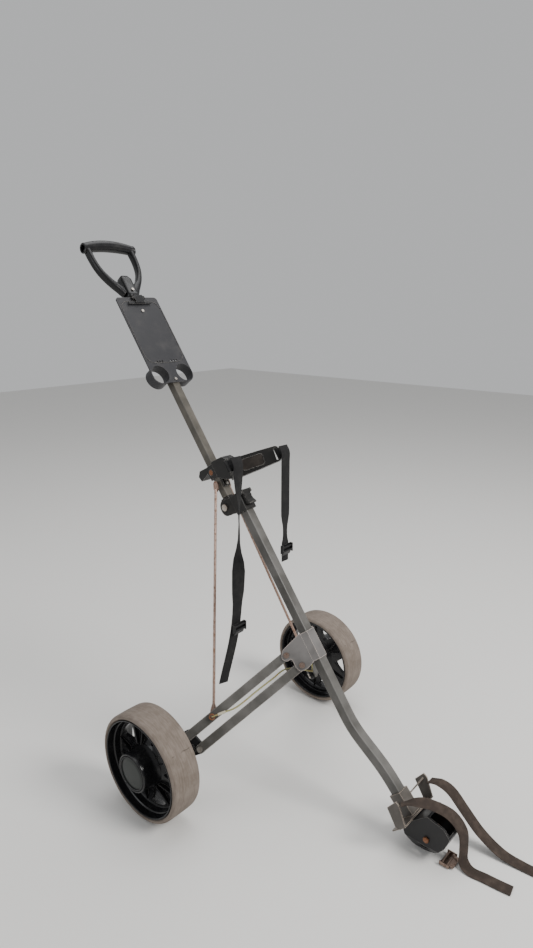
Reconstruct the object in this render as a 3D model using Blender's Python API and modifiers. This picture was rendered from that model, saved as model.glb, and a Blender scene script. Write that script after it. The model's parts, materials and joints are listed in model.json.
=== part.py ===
"""Folding two-wheel golf push cart, standing on its wheels and its foot.

Run with: blender --background --python part.py

Two frames are used. The ground frame has X forward, Y to the cart's left and Z up, with its
floor under the tyres. The mast frame leans back with the mast: X is the mast's forward
normal, Y is the same Y, and Z runs up the mast, with its origin on the lower tube's
centreline at the height of the fold hinge. Everything is in metres.
"""

import bmesh
import bpy
from math import acos, atan2, cos, pi, radians, sin, sqrt
from mathutils import Matrix, Vector

MM = 0.001

# Driving dimensions -----------------------------------------------------------------------
LEAN = radians(35.9)            # the mast leans back from upright
GAP = 0.4 * MM                  # clearance between pieces that touch
RUNNING = 0.5 * MM              # clearance round a turning pin

LOWER_TUBE = 20 * MM            # square tube, outside
UPPER_TUBE = 18 * MM
TUBE_WALL = 1.5 * MM
LOWER_LENGTH = 481 * MM         # hinge height down to the forward bend
TOE_BEND = (28 * MM, -LOWER_LENGTH - 89 * MM)     # forward and down, to where the last stretch starts
TOE_END = (36 * MM, -LOWER_LENGTH - 159 * MM)

HINGE_X = -38 * MM              # fold axis behind the lower tube's centreline
UPPER_X = -31 * MM              # upper tube's centreline
UPPER_TOP = 537 * MM
HINGE_BOLT = 3.5 * MM           # radii
HINGE_BOSS = 16 * MM
TONGUE = 6.5 * MM               # half width of the upper tube's tongue

SWEEP = radians(52.6)           # the leg plates sweep back from straight sideways
SPREAD = radians(77.1)          # leg swing from folded to open
LEG_PIVOT = Vector((-34.3, 40.1, -310.5)) * MM   # upper rivet, left side
LEG_LENGTH = 255 * MM           # between the bar's pivots
LINK_UP = 28.9 * MM             # the lower rivet is this much lower ...
LINK_IN = 19 * MM               # ... and this much further in along the plate
BAR_WIDTH = 17.5 * MM           # less than LINK_IN, so that the bars pass when folded
BAR_THICK = 7 * MM
RIVET = 3.5 * MM
PLATE = 2.2 * MM                # bracket sheet

STAY_REACH = 185.6 * MM         # leg pivot to the stay's pin, so that it closes when folded
STAY_TOP = Vector((UPPER_X, 16.5 * MM, 50 * MM))
STAY_ROD = 2.8 * MM
STAY_EYE = 2.4 * MM             # thickness of the stay's flattened ends
STAY_LIFT = 7.5 * MM            # from the bar's middle back to the stay's eye
FOLD = radians(172)             # the upper tube's swing from standing to folded

WHEEL_RADIUS = 105 * MM
WHEEL_WIDTH = 63 * MM
AXLE_FROM_LINK = Vector((-26.8, 70.9, -5.4)) * MM   # from the upper link bolt to the tread's middle
AXLE = 5 * MM
SPOKES = 5

PLATE_WIDTH = 108 * MM          # scorecard plate
PLATE_BOTTOM = 283 * MM
PLATE_TOP = 493 * MM
BALL_HOLE = 20.5 * MM           # radius
BALL_SPREAD = 32.5 * MM
BALL_RISE = 21 * MM             # ball holes above the plate's lower edge

GRIP_RISE = 626 * MM            # height of the handle's grip bar
GRIP_HALF = 66 * MM
GRIP_RADIUS = 11.5 * MM

ARM_ROOT = Vector((14, 8, 60)) * MM        # bag arm, left side
ARM_TIP = Vector((87, 68, 46)) * MM
ARM_THICK = 7 * MM
STRAP_CLEAR = 18 * MM           # the strap hangs this far ahead of the arm's tip
WEB_WIDTH = 25 * MM
WEB_THICK = 1.8 * MM
FOOT_HALF = 50 * MM
FOOT_WEB = 22 * MM


# Scene and materials ----------------------------------------------------------------------
for old in list(bpy.data.objects):
    bpy.data.objects.remove(old)
PART = bpy.data.collections.new("golf_push_cart")
CUTTERS = bpy.data.collections.new("cutters")
for folder in (PART, CUTTERS):
    bpy.context.scene.collection.children.link(folder)
CUTTERS.hide_render = True


def material(name, colour, roughness, metallic=0.0):
    made = bpy.data.materials.new(name)
    made.use_nodes = True
    shader = made.node_tree.nodes["Principled BSDF"]
    shader.inputs["Base Color"].default_value = (*colour, 1)
    shader.inputs["Roughness"].default_value = roughness
    shader.inputs["Metallic"].default_value = metallic
    made.diffuse_color = (*colour, 1)
    return made


GREY_PAINT = material("grey_powder_coat", (0.17, 0.165, 0.16), 0.45)
SHAFT_PAINT = material("shaft_powder_coat", (0.13, 0.12, 0.105), 0.42)
BLACK = material("black_plastic", (0.018, 0.018, 0.02), 0.42)
RIM_BLACK = material("rim_plastic", (0.012, 0.012, 0.014), 0.25)
TYRE = material("foam_tyre", (0.17, 0.135, 0.11), 0.8)
STEEL = material("worn_steel", (0.5, 0.44, 0.38), 0.4, 1.0)
RUSTY = material("rusty_rod", (0.36, 0.23, 0.17), 0.6, 0.4)
CARD = material("scorecard_plate", (0.07, 0.07, 0.075), 0.5)
WEBBING = material("webbing", (0.02, 0.02, 0.022), 0.85)
BROWN_WEB = material("foot_webbing", (0.09, 0.06, 0.045), 0.85)
CABLE = material("cable_sleeve", (0.45, 0.4, 0.1), 0.6)


PLACED = {}                     # each object's frame, and its place in it


def empty(name, parent=None, matrix=Matrix.Identity(4)):
    made = bpy.data.objects.new(name, None)
    made.empty_display_size = 0.03
    PART.objects.link(made)
    made.parent = parent
    made.matrix_local = matrix
    return made


SIDES = {"left": 1, "right": -1}


def side(point, sign):
    """A point of the left side, or its mirror image on the right."""
    return Vector((point[0], point[1] * sign, point[2]))


# Leg geometry, in the mast frame ----------------------------------------------------------
OUTWARD = Vector((-sin(SWEEP), cos(SWEEP), 0))        # along the left bracket plate
FACE = Vector((cos(SWEEP), sin(SWEEP), 0))            # out of its front face
LEG_RUN = OUTWARD * sin(SPREAD) - Vector((0, 0, cos(SPREAD)))
LINK = Vector((0, 0, -LINK_UP)) - OUTWARD * LINK_IN
LOWER_PIVOT = LEG_PIVOT + LINK
LINK_BOLT = LEG_PIVOT + LEG_RUN * LEG_LENGTH
LOWER_BOLT = LINK_BOLT + LINK
STAY_PIN = LEG_PIVOT + LEG_RUN * STAY_REACH
AXLE_POINT = LINK_BOLT + AXLE_FROM_LINK
STAY_FOOT = STAY_PIN - FACE * STAY_LIFT
FOLD_AXIS = Vector((0, -1, 0))


def folded(point, angle=FOLD):
    """Where the fold hinge takes a point of the upper shaft."""
    centre = Vector((HINGE_X, 0, 0))
    return centre + Matrix.Rotation(angle, 3, FOLD_AXIS) @ (point - centre)


def stay_hinge():
    """The stay's axis on the open leg, and its swing, from where both of its ends go."""
    start = (STAY_TOP - STAY_FOOT).normalized()
    end = folded(STAY_TOP) - (STAY_FOOT + (Vector((0, 0, -1)) - LEG_RUN) * STAY_REACH)
    end = Matrix.Rotation(SPREAD, 3, FACE) @ end.normalized()
    return start.cross(end).normalized(), start.angle(end)


STAY_AXIS, STAY_SWING = stay_hinge()

# The ground frame's origin is on the floor midway between the tyres, so this puts them on it.
TILT = Matrix.Rotation(-LEAN, 4, "Y")
AXLE_TILTED = TILT @ AXLE_POINT
MAST = Matrix.Translation((-AXLE_TILTED.x, 0, WHEEL_RADIUS - AXLE_TILTED.z)) @ TILT

ground = empty("ground_frame")
mast = empty("mast_frame", ground, MAST)


def frame_at(origin, x_axis, z_axis):
    """A turned frame with its X along x_axis and its Z as near z_axis as it can be."""
    x_axis = Vector(x_axis).normalized()
    y_axis = Vector(z_axis).cross(x_axis).normalized()
    z_axis = x_axis.cross(y_axis)
    turned_frame = Matrix((x_axis, y_axis, z_axis)).transposed().to_4x4()
    return Matrix.Translation(origin) @ turned_frame


# Modelling helpers ------------------------------------------------------------------------
def add(name, mesh, mat=None, parent=None, matrix=Matrix.Identity(4), bevel=0.0, rounds=1):
    """A named piece in the mast frame, or a hidden cutter when it has no material."""
    made = bpy.data.objects.new(name, mesh)
    (PART if mat else CUTTERS).objects.link(made)
    if mat:
        mesh.materials.append(mat)
    else:
        made.hide_render = True
        made.display_type = "WIRE"
    made.parent = parent or mast
    made.matrix_local = matrix
    PLACED[name] = (Matrix.Identity(4) if parent == ground else MAST) @ matrix
    if bevel:
        soften = made.modifiers.new("bevel", "BEVEL")
        soften.width = bevel
        soften.segments = rounds
        soften.limit_method = "ANGLE"
        soften.angle_limit = radians(40)
    return made


def finish(bm, name):
    bmesh.ops.recalc_face_normals(bm, faces=bm.faces)
    mesh = bpy.data.meshes.new(name)
    bm.to_mesh(mesh)
    bm.free()
    return mesh


def box(name, low, high, **rest):
    bm = bmesh.new()
    middle = (Vector(low) + Vector(high)) / 2
    size = Vector(high) - Vector(low)
    bmesh.ops.create_cube(bm, size=1, matrix=Matrix.Translation(middle) @ Matrix.Diagonal((*size, 1)))
    return add(name, finish(bm, name), **rest)


def rod(name, radius, start, end, steps=20, **rest):
    """A round bar between two points."""
    start, end = Vector(start), Vector(end)
    turn = (end - start).to_track_quat("Z", "Y").to_matrix().to_4x4()
    bm = bmesh.new()
    bmesh.ops.create_cone(bm, cap_ends=True, segments=steps, radius1=radius, radius2=radius,
                          depth=(end - start).length,
                          matrix=Matrix.Translation((start + end) / 2) @ turn)
    return add(name, finish(bm, name), **rest)


def slab(name, outline, low, high, **rest):
    """A flat outline in the piece's own XZ plane, given depth from low to high along its Y."""
    bm = bmesh.new()
    face = bm.faces.new([bm.verts.new((x, low, z)) for x, z in outline])
    grown = bmesh.ops.extrude_face_region(bm, geom=[face])
    moved = [item for item in grown["geom"] if isinstance(item, bmesh.types.BMVert)]
    bmesh.ops.translate(bm, verts=moved, vec=(0, high - low, 0))
    return add(name, finish(bm, name), **rest)


def rounded(corners, steps=4):
    """An outline from (x, z, radius) corners, each turned as an arc."""
    outline = []
    for index, (x, z, radius) in enumerate(corners):
        here = Vector((x, z))
        before = (Vector(corners[index - 1][:2]) - here).normalized()
        after = (Vector(corners[(index + 1) % len(corners)][:2]) - here).normalized()
        if radius == 0:
            outline.append((x, z))
            continue
        half = acos(max(-1, min(1, before.dot(after)))) / 2
        middle = here + (before + after).normalized() * (radius / sin(half))
        first = here + before * (radius / (sin(half) / cos(half))) - middle
        last = here + after * (radius / (sin(half) / cos(half))) - middle
        sweep = atan2(first.x * last.y - first.y * last.x, first.dot(last))
        for step in range(steps + 1):
            outline.append(tuple(middle + Matrix.Rotation(sweep * step / steps, 2) @ first))
    return outline


def circle(x, z, radius, steps=24):
    return [(x + radius * cos(2 * pi * i / steps), z + radius * sin(2 * pi * i / steps))
            for i in range(steps)]


def sweep(name, section, route, across, **rest):
    """A closed section carried along a route; across is the section's sideways direction."""
    route = [Vector(point) for point in route]
    bm = bmesh.new()
    rings = []
    for index, point in enumerate(route):
        ahead = route[min(index + 1, len(route) - 1)] - point
        behind = point - route[max(index - 1, 0)]
        run = (ahead.normalized() + behind.normalized()).normalized()
        widen = 1.0
        if ahead.length and behind.length:
            widen = 1 / max(0.5, sqrt((1 + ahead.normalized().dot(behind.normalized())) / 2))
        sideways = Vector(across(index) if callable(across) else across)
        sideways = (sideways - run * sideways.dot(run)).normalized()
        upright = run.cross(sideways)
        rings.append([bm.verts.new(point + sideways * u + upright * v * widen) for u, v in section])
    for first, second in zip(rings, rings[1:]):
        for i in range(len(section)):
            j = (i + 1) % len(section)
            bm.faces.new((first[i], first[j], second[j], second[i]))
    bm.faces.new(rings[0])
    bm.faces.new(rings[-1])
    return add(name, finish(bm, name), **rest)


def turned(name, profile, steps, **rest):
    """A profile of (radius, height) points turned about the piece's Z axis, closed on the axis."""
    mesh = bpy.data.meshes.new(name)
    points = [(r, 0, z) for r, z in profile]
    closed = profile[0][0] > 0
    edges = [(i, i + 1) for i in range(len(points) - 1)] + ([(len(points) - 1, 0)] if closed else [])
    mesh.from_pydata(points, edges, [])
    made = add(name, mesh, **rest)
    spin = made.modifiers.new("turn", "SCREW")
    spin.steps = spin.render_steps = steps
    spin.use_merge_vertices = True
    spin.merge_threshold = 0.00001
    spin.use_normal_calculate = True
    return made


def boolean(target, tool, kind="DIFFERENCE"):
    """Cuts or joins with a tool, which stays in the cutters' collection."""
    if tool.name in PART.objects:
        PART.objects.unlink(tool)
        CUTTERS.objects.link(tool)
        tool.hide_render = True
        tool.display_type = "WIRE"
    step = target.modifiers.new(tool.name, "BOOLEAN")
    step.operation = kind
    step.solver = "EXACT"
    step.object = tool
    return target


def drill(target, radius, start, end, parent=None, steps=20):
    name = f"{target.name}_hole_{len(target.modifiers)}"
    return boolean(target, rod(name, radius, start, end, steps=steps, parent=parent))


def square(half, corner):
    return rounded([(half, half, corner), (-half, half, corner),
                    (-half, -half, corner), (half, -half, corner)], 2)


def round_section(radius, steps=12):
    return circle(0, 0, radius, steps)


def strip(width, thick):
    return [(width / 2, thick / 2), (-width / 2, thick / 2),
            (-width / 2, -thick / 2), (width / 2, -thick / 2)]


def smooth_route(points, per_span=4):
    """A Catmull-Rom curve through hand-chosen points."""
    points = [Vector(point) for point in points]
    ends = [points[0] * 2 - points[1]] + points + [points[-1] * 2 - points[-2]]
    route = []
    for a, b, c, d in zip(ends, ends[1:], ends[2:], ends[3:]):
        for step in range(per_span):
            t = step / per_span
            route.append(0.5 * (2 * b + (c - a) * t + (2 * a - 5 * b + 4 * c - d) * t ** 2
                                + (3 * b - a - 3 * c + d) * t ** 3))
    return route + [points[-1]]


# Main frame -------------------------------------------------------------------------------
TUBE_HALF = LOWER_TUBE / 2
BASE_TOP = 12 * MM              # top of the hinge base
BASE_BOTTOM = -28 * MM
CAP = 3 * MM                    # plastic over the lower tube's open end
TUBE_START = BASE_TOP - CAP - GAP


def tube_route(start, end_extra=0.0):
    """The lower tube's centreline, with short arcs at its two bends."""
    corners = [Vector((0, start)), Vector((0, -LOWER_LENGTH)), Vector(TOE_BEND), Vector(TOE_END)]
    corners[-1] += (corners[-1] - corners[-2]).normalized() * end_extra
    route = [corners[0]]
    for before, here, after in zip(corners, corners[1:], corners[2:]):
        first = here + (before - here).normalized() * 26 * MM
        last = here + (after - here).normalized() * 26 * MM
        for step in range(5):
            t = step / 4
            route.append(first * (1 - t) ** 2 + here * 2 * t * (1 - t) + last * t ** 2)
    route.append(corners[-1])
    return [(x, 0, z) for x, z in route]


def lower_tube():
    made = sweep("lower_tube", square(TUBE_HALF, 2 * MM), tube_route(TUBE_START), (0, 1, 0),
                 mat=GREY_PAINT)
    inside = sweep("lower_tube_bore", square(TUBE_HALF - TUBE_WALL, 1 * MM),
                   tube_route(TUBE_START + MM, MM), (0, 1, 0))
    return boolean(made, inside)


SLEEVE = TUBE_HALF + GAP        # inside of what wraps the lower tube
BASE_HALF = SLEEVE + 4.5 * MM
EAR_IN = TONGUE + RUNNING
EAR_OUT = EAR_IN + 5.5 * MM


def hinge_base():
    """Black block over the lower tube's top, with two ears that carry the fold bolt."""
    made = box("hinge_base", (-BASE_HALF, -BASE_HALF, BASE_BOTTOM), (BASE_HALF, BASE_HALF, BASE_TOP),
               mat=BLACK, bevel=1.5 * MM, rounds=2)
    boolean(made, box("base_socket", (-SLEEVE, -SLEEVE, BASE_BOTTOM - MM),
                      (SLEEVE, SLEEVE, BASE_TOP - CAP)))
    for name, sign in SIDES.items():
        ear = rounded([(HINGE_X - HINGE_BOSS, HINGE_BOSS, 15.9 * MM),
                       (HINGE_X - HINGE_BOSS, -HINGE_BOSS, 15.9 * MM),
                       (-SLEEVE - MM, -HINGE_BOSS - 6 * MM, 0), (-SLEEVE - MM, BASE_TOP - MM, 0),
                       (HINGE_X, HINGE_BOSS, 0)], 8)
        low, high = sorted((EAR_IN * sign, EAR_OUT * sign))
        boolean(made, slab(f"ear_{name}", ear, low, high), "UNION")
    return drill(made, HINGE_BOLT + RUNNING, (HINGE_X, -0.03, 0), (HINGE_X, 0.03, 0))


def hinge_bolt():
    """Bolt with a domed head on the right and a nut on the left, both outside the ears."""
    reach = EAR_OUT + GAP
    made = rod("hinge_bolt", HINGE_BOLT, (HINGE_X, -reach - 3 * MM, 0), (HINGE_X, reach + 6 * MM, 0),
               mat=STEEL)
    boolean(made, rod("bolt_head", 7 * MM, (HINGE_X, -reach - 4 * MM, 0), (HINGE_X, -reach, 0),
                      steps=24), "UNION")
    return boolean(made, rod("bolt_nut", 6.5 * MM, (HINGE_X, reach, 0), (HINGE_X, reach + 5 * MM, 0),
                             steps=6), "UNION")


LATCH_PIVOT = Vector((BASE_HALF + 5 * MM, 0, 8 * MM))
LATCH_HALF = 10 * MM
LATCH_PIN = 1.6 * MM


def latch_lugs():
    """Two lugs on the hinge base's front face, which hold the latch lever's pin."""
    outline = rounded([(BASE_HALF - MM, LATCH_PIVOT.z + 4 * MM, 0),
                       (LATCH_PIVOT.x + 3.5 * MM, LATCH_PIVOT.z + 4 * MM, 2 * MM),
                       (LATCH_PIVOT.x + 3.5 * MM, LATCH_PIVOT.z - 4 * MM, 2 * MM),
                       (BASE_HALF - MM, LATCH_PIVOT.z - 5 * MM, 0)])
    for name, sign in SIDES.items():
        low, high = sorted(((LATCH_HALF + GAP) * sign, (LATCH_HALF + GAP + 3.5 * MM) * sign))
        boolean(bpy.data.objects["hinge_base"], slab(f"latch_lug_{name}", outline, low, high), "UNION")
    drill(bpy.data.objects["hinge_base"], LATCH_PIN + 0.1 * MM,
          LATCH_PIVOT - Vector((0, 0.03, 0)), LATCH_PIVOT + Vector((0, 0.03, 0)), steps=12)


def latch_lever():
    """Ribbed lever on the front of the hinge, with a flared lip to pull."""
    x0 = BASE_HALF + GAP
    outline = [(LATCH_PIVOT.x - 3.2 * MM, 9 * MM), (LATCH_PIVOT.x - 1.5 * MM, 12.5 * MM),
               (LATCH_PIVOT.x + 2.5 * MM, 11.5 * MM), (LATCH_PIVOT.x + 3.5 * MM, 5 * MM),
               (LATCH_PIVOT.x + 2 * MM, 3.5 * MM), (LATCH_PIVOT.x + 3 * MM, -3 * MM),
               (LATCH_PIVOT.x + 1.5 * MM, -4.5 * MM), (LATCH_PIVOT.x + 3 * MM, -11 * MM),
               (LATCH_PIVOT.x + 7.5 * MM, -19 * MM), (LATCH_PIVOT.x + 4.5 * MM, -21 * MM),
               (x0 + 1.5 * MM, -17 * MM), (x0, -12 * MM), (x0, 2 * MM)]
    made = slab("latch_lever", outline, -LATCH_HALF, LATCH_HALF, mat=BLACK, bevel=0.8 * MM)
    return drill(made, LATCH_PIN + RUNNING, LATCH_PIVOT - Vector((0, 0.03, 0)),
                 LATCH_PIVOT + Vector((0, 0.03, 0)), steps=12)


def latch_pin():
    half = LATCH_HALF + GAP + 3.5 * MM
    return rod("latch_pin", LATCH_PIN, LATCH_PIVOT - Vector((0, half, 0)),
               LATCH_PIVOT + Vector((0, half, 0)), steps=12, mat=STEEL)


# Leg bracket ------------------------------------------------------------------------------
FRONT_X = TUBE_HALF + GAP       # inside of the bracket's front face
NOSE_HALF = TUBE_HALF + 5 * MM


def plate_frame(sign):
    """X runs outward along the leg plate, Y out of its face, Z up the mast; at the upper rivet."""
    outward, face = side(OUTWARD, sign), side(FACE, sign)
    return Matrix.Translation(side(LEG_PIVOT, sign)) @ Matrix(
        (outward, face, Vector((0, 0, 1)))).transposed().to_4x4()


BAR_FACE = BAR_THICK / 2 + GAP          # from the bars' middle to the plates' inner faces
REACH_IN = (LEG_PIVOT.y - NOSE_HALF) / cos(SWEEP)


def ear_outline():
    """The front leg plate: an upper and a lower ear with a notch between them."""
    inner = -REACH_IN
    return rounded([(inner, 26 * MM, 0), (2 * MM, 12 * MM, 9 * MM), (13 * MM, -3 * MM, 7 * MM),
                    (4 * MM, -11 * MM, 5 * MM), (-7 * MM, -10 * MM, 3 * MM),
                    (-LINK_IN + 13 * MM, -LINK_UP + 2 * MM, 4 * MM),
                    (-LINK_IN + 9 * MM, -LINK_UP - 10 * MM, 7 * MM),
                    (-LINK_IN - 7 * MM, -LINK_UP - 10 * MM, 6 * MM), (inner, -LINK_UP - 4 * MM, 0)], 3)


def leg_bracket():
    """Pressed sheet that wraps the mast's front and sweeps back into two leg plates."""
    start = LEG_PIVOT + FACE * (BAR_FACE + 0.3 * MM) - OUTWARD * (REACH_IN - 3 * MM)
    bend = LEG_PIVOT + FACE * (BAR_FACE + 0.3 * MM) - OUTWARD * REACH_IN
    thin = PLATE - 0.6 * MM
    inner = [(start.x, start.y), (bend.x, bend.y), (FRONT_X, TUBE_HALF - 0.5 * MM)]
    outer = [(start.x + FACE.x * thin, start.y + FACE.y * thin),
             (bend.x + FACE.x * PLATE, bend.y + FACE.y * PLATE * 0.6),
             (FRONT_X + PLATE, TUBE_HALF + 0.5 * MM)]
    section = inner + [(x, -y) for x, y in reversed(inner)] \
        + [(x, -y) for x, y in outer] + list(reversed(outer))
    top, bottom = LEG_PIVOT.z + 24 * MM, LEG_PIVOT.z - LINK_UP - 3 * MM
    bm = bmesh.new()
    face = bm.faces.new([bm.verts.new((x, y, bottom)) for x, y in section])
    grown = bmesh.ops.extrude_face_region(bm, geom=[face])
    moved = [item for item in grown["geom"] if isinstance(item, bmesh.types.BMVert)]
    bmesh.ops.translate(bm, verts=moved, vec=(0, 0, top - bottom))
    made = add("leg_bracket", finish(bm, "leg_bracket"), mat=GREY_PAINT)
    for name, sign in SIDES.items():
        turn = plate_frame(sign)
        plate = slab(f"leg_plate_{name}", ear_outline(), BAR_FACE, BAR_FACE + PLATE, matrix=turn)
        boolean(made, plate, "UNION")
    for name, sign in SIDES.items():
        for pivot in (LEG_PIVOT, LOWER_PIVOT):
            here, away = side(pivot, sign), side(FACE, sign) * 0.012
            drill(made, RIVET + 0.1 * MM, here - away, here + away, steps=16)
    return made


def bracket_back():
    """The inner clamp plate behind the bars, folded round the mast's back."""
    inner = -REACH_IN + 10 * MM
    outline = rounded([(inner, 12 * MM, 0), (0, 9 * MM, 5 * MM), (8 * MM, 0, 5 * MM),
                       (1 * MM, -9 * MM, 4 * MM), (-LINK_IN + 9 * MM, -LINK_UP, 4 * MM),
                       (-LINK_IN, -LINK_UP - 8 * MM, 6 * MM), (inner, -LINK_UP - 3 * MM, 0)], 3)
    start = LEG_PIVOT - FACE * BAR_FACE + OUTWARD * (inner + 1.5 * MM)
    low = LEG_PIVOT.z - LINK_UP - 3 * MM
    made = box("bracket_back", (start.x - 2.6 * MM, -start.y, low),
               (start.x, start.y, LEG_PIVOT.z + 12 * MM), mat=GREY_PAINT)
    for name, sign in SIDES.items():
        turn = plate_frame(sign)
        plate = slab(f"back_plate_{name}", outline, -BAR_FACE - PLATE, -BAR_FACE, matrix=turn)
        boolean(made, plate, "UNION")
    for name, sign in SIDES.items():
        for pivot in (LEG_PIVOT, LOWER_PIVOT):
            here, away = side(pivot, sign), side(FACE, sign) * 0.012
            drill(made, RIVET + 0.1 * MM, here - away, here + away, steps=16)
    return made


def pin(name, point, direction, front, back, radius, head, thick, mat=STEEL):
    """A rivet through a joint, with round heads just outside front and back."""
    bury = thick / 2
    made = rod(name, radius, point - direction * (back + GAP + bury),
               point + direction * (front + GAP + bury), steps=16, mat=mat)
    for end, reach in (("front", front + GAP), ("back", -back - GAP - thick)):
        start = point + direction * reach
        boolean(made, rod(f"{name}_{end}", head, start, start + direction * thick, steps=20), "UNION")
    return made


def leg(name, sign):
    """The two bars of a leg, their rivets, and the stay with its pin."""
    face, run = side(FACE, sign), side(LEG_RUN, sign)
    half = BAR_WIDTH / 2
    for level, pivot in (("upper", LEG_PIVOT), ("lower", LOWER_PIVOT)):
        here = side(pivot, sign)
        turn = frame_at(here, run, face)
        outline = rounded([(-half * 0.8, half, 6 * MM), (-half * 0.8, -half, 6 * MM),
                           (LEG_LENGTH + half * 0.8, -half, 6 * MM), (LEG_LENGTH + half * 0.8, half, 6 * MM)], 4)
        flat = turn @ Matrix.Rotation(radians(90), 4, "X")
        bar = slab(f"leg_{level}_{name}", outline, -BAR_THICK / 2, BAR_THICK / 2, matrix=flat,
                   mat=GREY_PAINT, bevel=1 * MM)
        for reach in (0, LEG_LENGTH):
            middle = here + run * reach
            drill(bar, RIVET + RUNNING, middle - face * 0.01, middle + face * 0.01, steps=16)
        pin(f"leg_rivet_{level}_{name}", here, face, BAR_FACE + PLATE, BAR_FACE + PLATE,
            RIVET, 5.5 * MM, 1.6 * MM)
    middle = side(STAY_PIN, sign)
    upper = bpy.data.objects[f"leg_upper_{name}"]
    drill(upper, RIVET + 0.1 * MM, middle - face * 0.01, middle + face * 0.01, steps=16)
    back = STAY_LIFT + STAY_EYE / 2
    held = pin(f"stay_pin_{name}", middle, face, BAR_THICK / 2, back, RIVET, 5.5 * MM, 1.6 * MM)
    boolean(held, rod(f"stay_collar_{name}", 5 * MM, middle - face * (BAR_THICK / 2 + GAP),
                      middle - face * (STAY_LIFT - STAY_EYE / 2 - GAP), steps=20), "UNION")
    stay(name, sign)


def stay(name, sign):
    """Straight steel rod behind the leg, flattened at its pin and at the upper tube."""
    face, foot, top = side(FACE, sign), side(STAY_FOOT, sign), side(STAY_TOP, sign)
    run = (top - foot).normalized()
    eye = frame_at(foot, run - face * run.dot(face), face) @ Matrix.Rotation(radians(90), 4, "X")
    paddle = rounded([(-7 * MM, 6.5 * MM, 6.4 * MM), (-7 * MM, -6.5 * MM, 6.4 * MM),
                      (9 * MM, -6.5 * MM, 4 * MM), (22 * MM, -2.6 * MM, 1 * MM),
                      (22 * MM, 2.6 * MM, 1 * MM), (9 * MM, 6.5 * MM, 4 * MM)], 4)
    flat = Vector((run.x, 0, run.z)).normalized()
    made = sweep(f"stay_{name}", round_section(STAY_ROD), [foot + run * 14 * MM, top - run * 9 * MM],
                 (1, 0, 0), mat=RUSTY)
    boolean(made, slab(f"stay_eye_{name}", paddle, -STAY_EYE / 2, STAY_EYE / 2, matrix=eye), "UNION")
    # The upper end is bent halfway, because the rod leans out when open and not when folded.
    short = [(min(x, 15 * MM), z) for x, z in paddle]
    bent = (run + flat).normalized()
    turn = frame_at(top, -bent, (0, 1, 0)) @ Matrix.Rotation(radians(90), 4, "X")
    boolean(made, slab(f"stay_top_{name}", short, -STAY_EYE / 2, STAY_EYE / 2, matrix=turn), "UNION")
    return drill(made, RIVET + RUNNING + 0.5 * MM, foot - face * 0.01, foot + face * 0.01, steps=16)


def stay_cross_pin():
    """The pin through the upper tube that both stays hang from."""
    half = STAY_TOP.y - STAY_EYE / 2 - GAP - 1.2 * MM
    return rod("stay_cross_pin", 3 * MM, (UPPER_X, -half, STAY_TOP.z), (UPPER_X, half, STAY_TOP.z),
               steps=16, mat=STEEL)


# Wheels -----------------------------------------------------------------------------------
RIM_RADIUS = 0.905 * WHEEL_RADIUS
HUB = 11 * MM
CARRIER_THICK = 9 * MM
WEB_HALF = 4 * MM               # half the thickness of the web that the windows pierce
HUB_RADIUS = 37 * MM            # the hub's outer drum
HUB_REACH = 13.5 * MM           # it stands this far out past the tyre
CAP_RADIUS = 33 * MM
CAP_DEPTH = 9 * MM


def link_carrier(name, sign):
    """Black block that joins both bars and holds the axle."""
    face = side(FACE, sign)
    base = side(LINK_BOLT, sign) - face * (BAR_FACE + CARRIER_THICK / 2)
    low = base + side(LINK, sign)
    axle = side(AXLE_POINT, sign)
    inner_end = axle - Vector((0, (WHEEL_WIDTH / 2 + 24 * MM) * sign, 0))
    made = slab(f"link_carrier_{name}",
                rounded([(-13 * MM, 13 * MM, 9 * MM), (13 * MM, 11 * MM, 7 * MM),
                         (13 * MM, -LINK_UP - 6 * MM, 7 * MM),
                         (-LINK_IN - 12 * MM, -LINK_UP - 12 * MM, 9 * MM)], 4),
                -CARRIER_THICK / 2, CARRIER_THICK / 2,
                matrix=Matrix.Translation(base - side(LEG_PIVOT, sign)) @ plate_frame(sign),
                mat=BLACK, bevel=1.5 * MM, rounds=2)
    hub_start = axle - Vector((0, (WHEEL_WIDTH / 2 + 2 * MM) * sign, 0))
    boolean(made, rod(f"axle_boss_{name}", HUB, inner_end, hub_start, steps=24), "UNION")
    for label, start in (("up", base), ("low", low)):
        middle = inner_end + Vector((0, 8 * MM * sign, 0))
        boolean(made, rod(f"carrier_arm_{label}_{name}", 7.5 * MM, start, middle, steps=12), "UNION")
    for point in (base, low):
        away = face * 0.012
        clear = RIVET + 0.1 * MM
        drill(made, clear, point - away, point + away, steps=16)
        drill(made, 6.2 * MM, point - face * (CARRIER_THICK / 2 + 14 * MM), point - face * CARRIER_THICK / 2,
              steps=16)
    for point in (side(LINK_BOLT, sign), side(LOWER_BOLT, sign)):
        start = point - face * BAR_FACE
        drill(made, 10.5 * MM, start, start + face * 0.03, steps=20)
    for share in (0.7, 0.8, 0.9, 1):
        up = side(Matrix.Rotation(-SPREAD * share, 3, FACE) @ -LEG_RUN, sign)
        room = frame_at(side(LOWER_BOLT, sign), up, face)
        swept = box(f"bar_room_{name}_{share}", (-0.8 * BAR_WIDTH, -BAR_WIDTH / 2 - MM, -BAR_FACE),
                    (0.05, BAR_WIDTH / 2 + MM, BAR_FACE), matrix=room)
        boolean(made, swept)
    drill(made, AXLE + 0.1 * MM, inner_end - Vector((0, 0.01 * sign, 0)),
          hub_start + Vector((0, 0.01 * sign, 0)), steps=20)
    for level, point in (("upper", LINK_BOLT), ("lower", LOWER_BOLT)):
        pin(f"link_bolt_{level}_{name}", side(point, sign), face, BAR_THICK / 2,
            BAR_FACE + CARRIER_THICK, RIVET, 5.5 * MM, 2 * MM)


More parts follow.
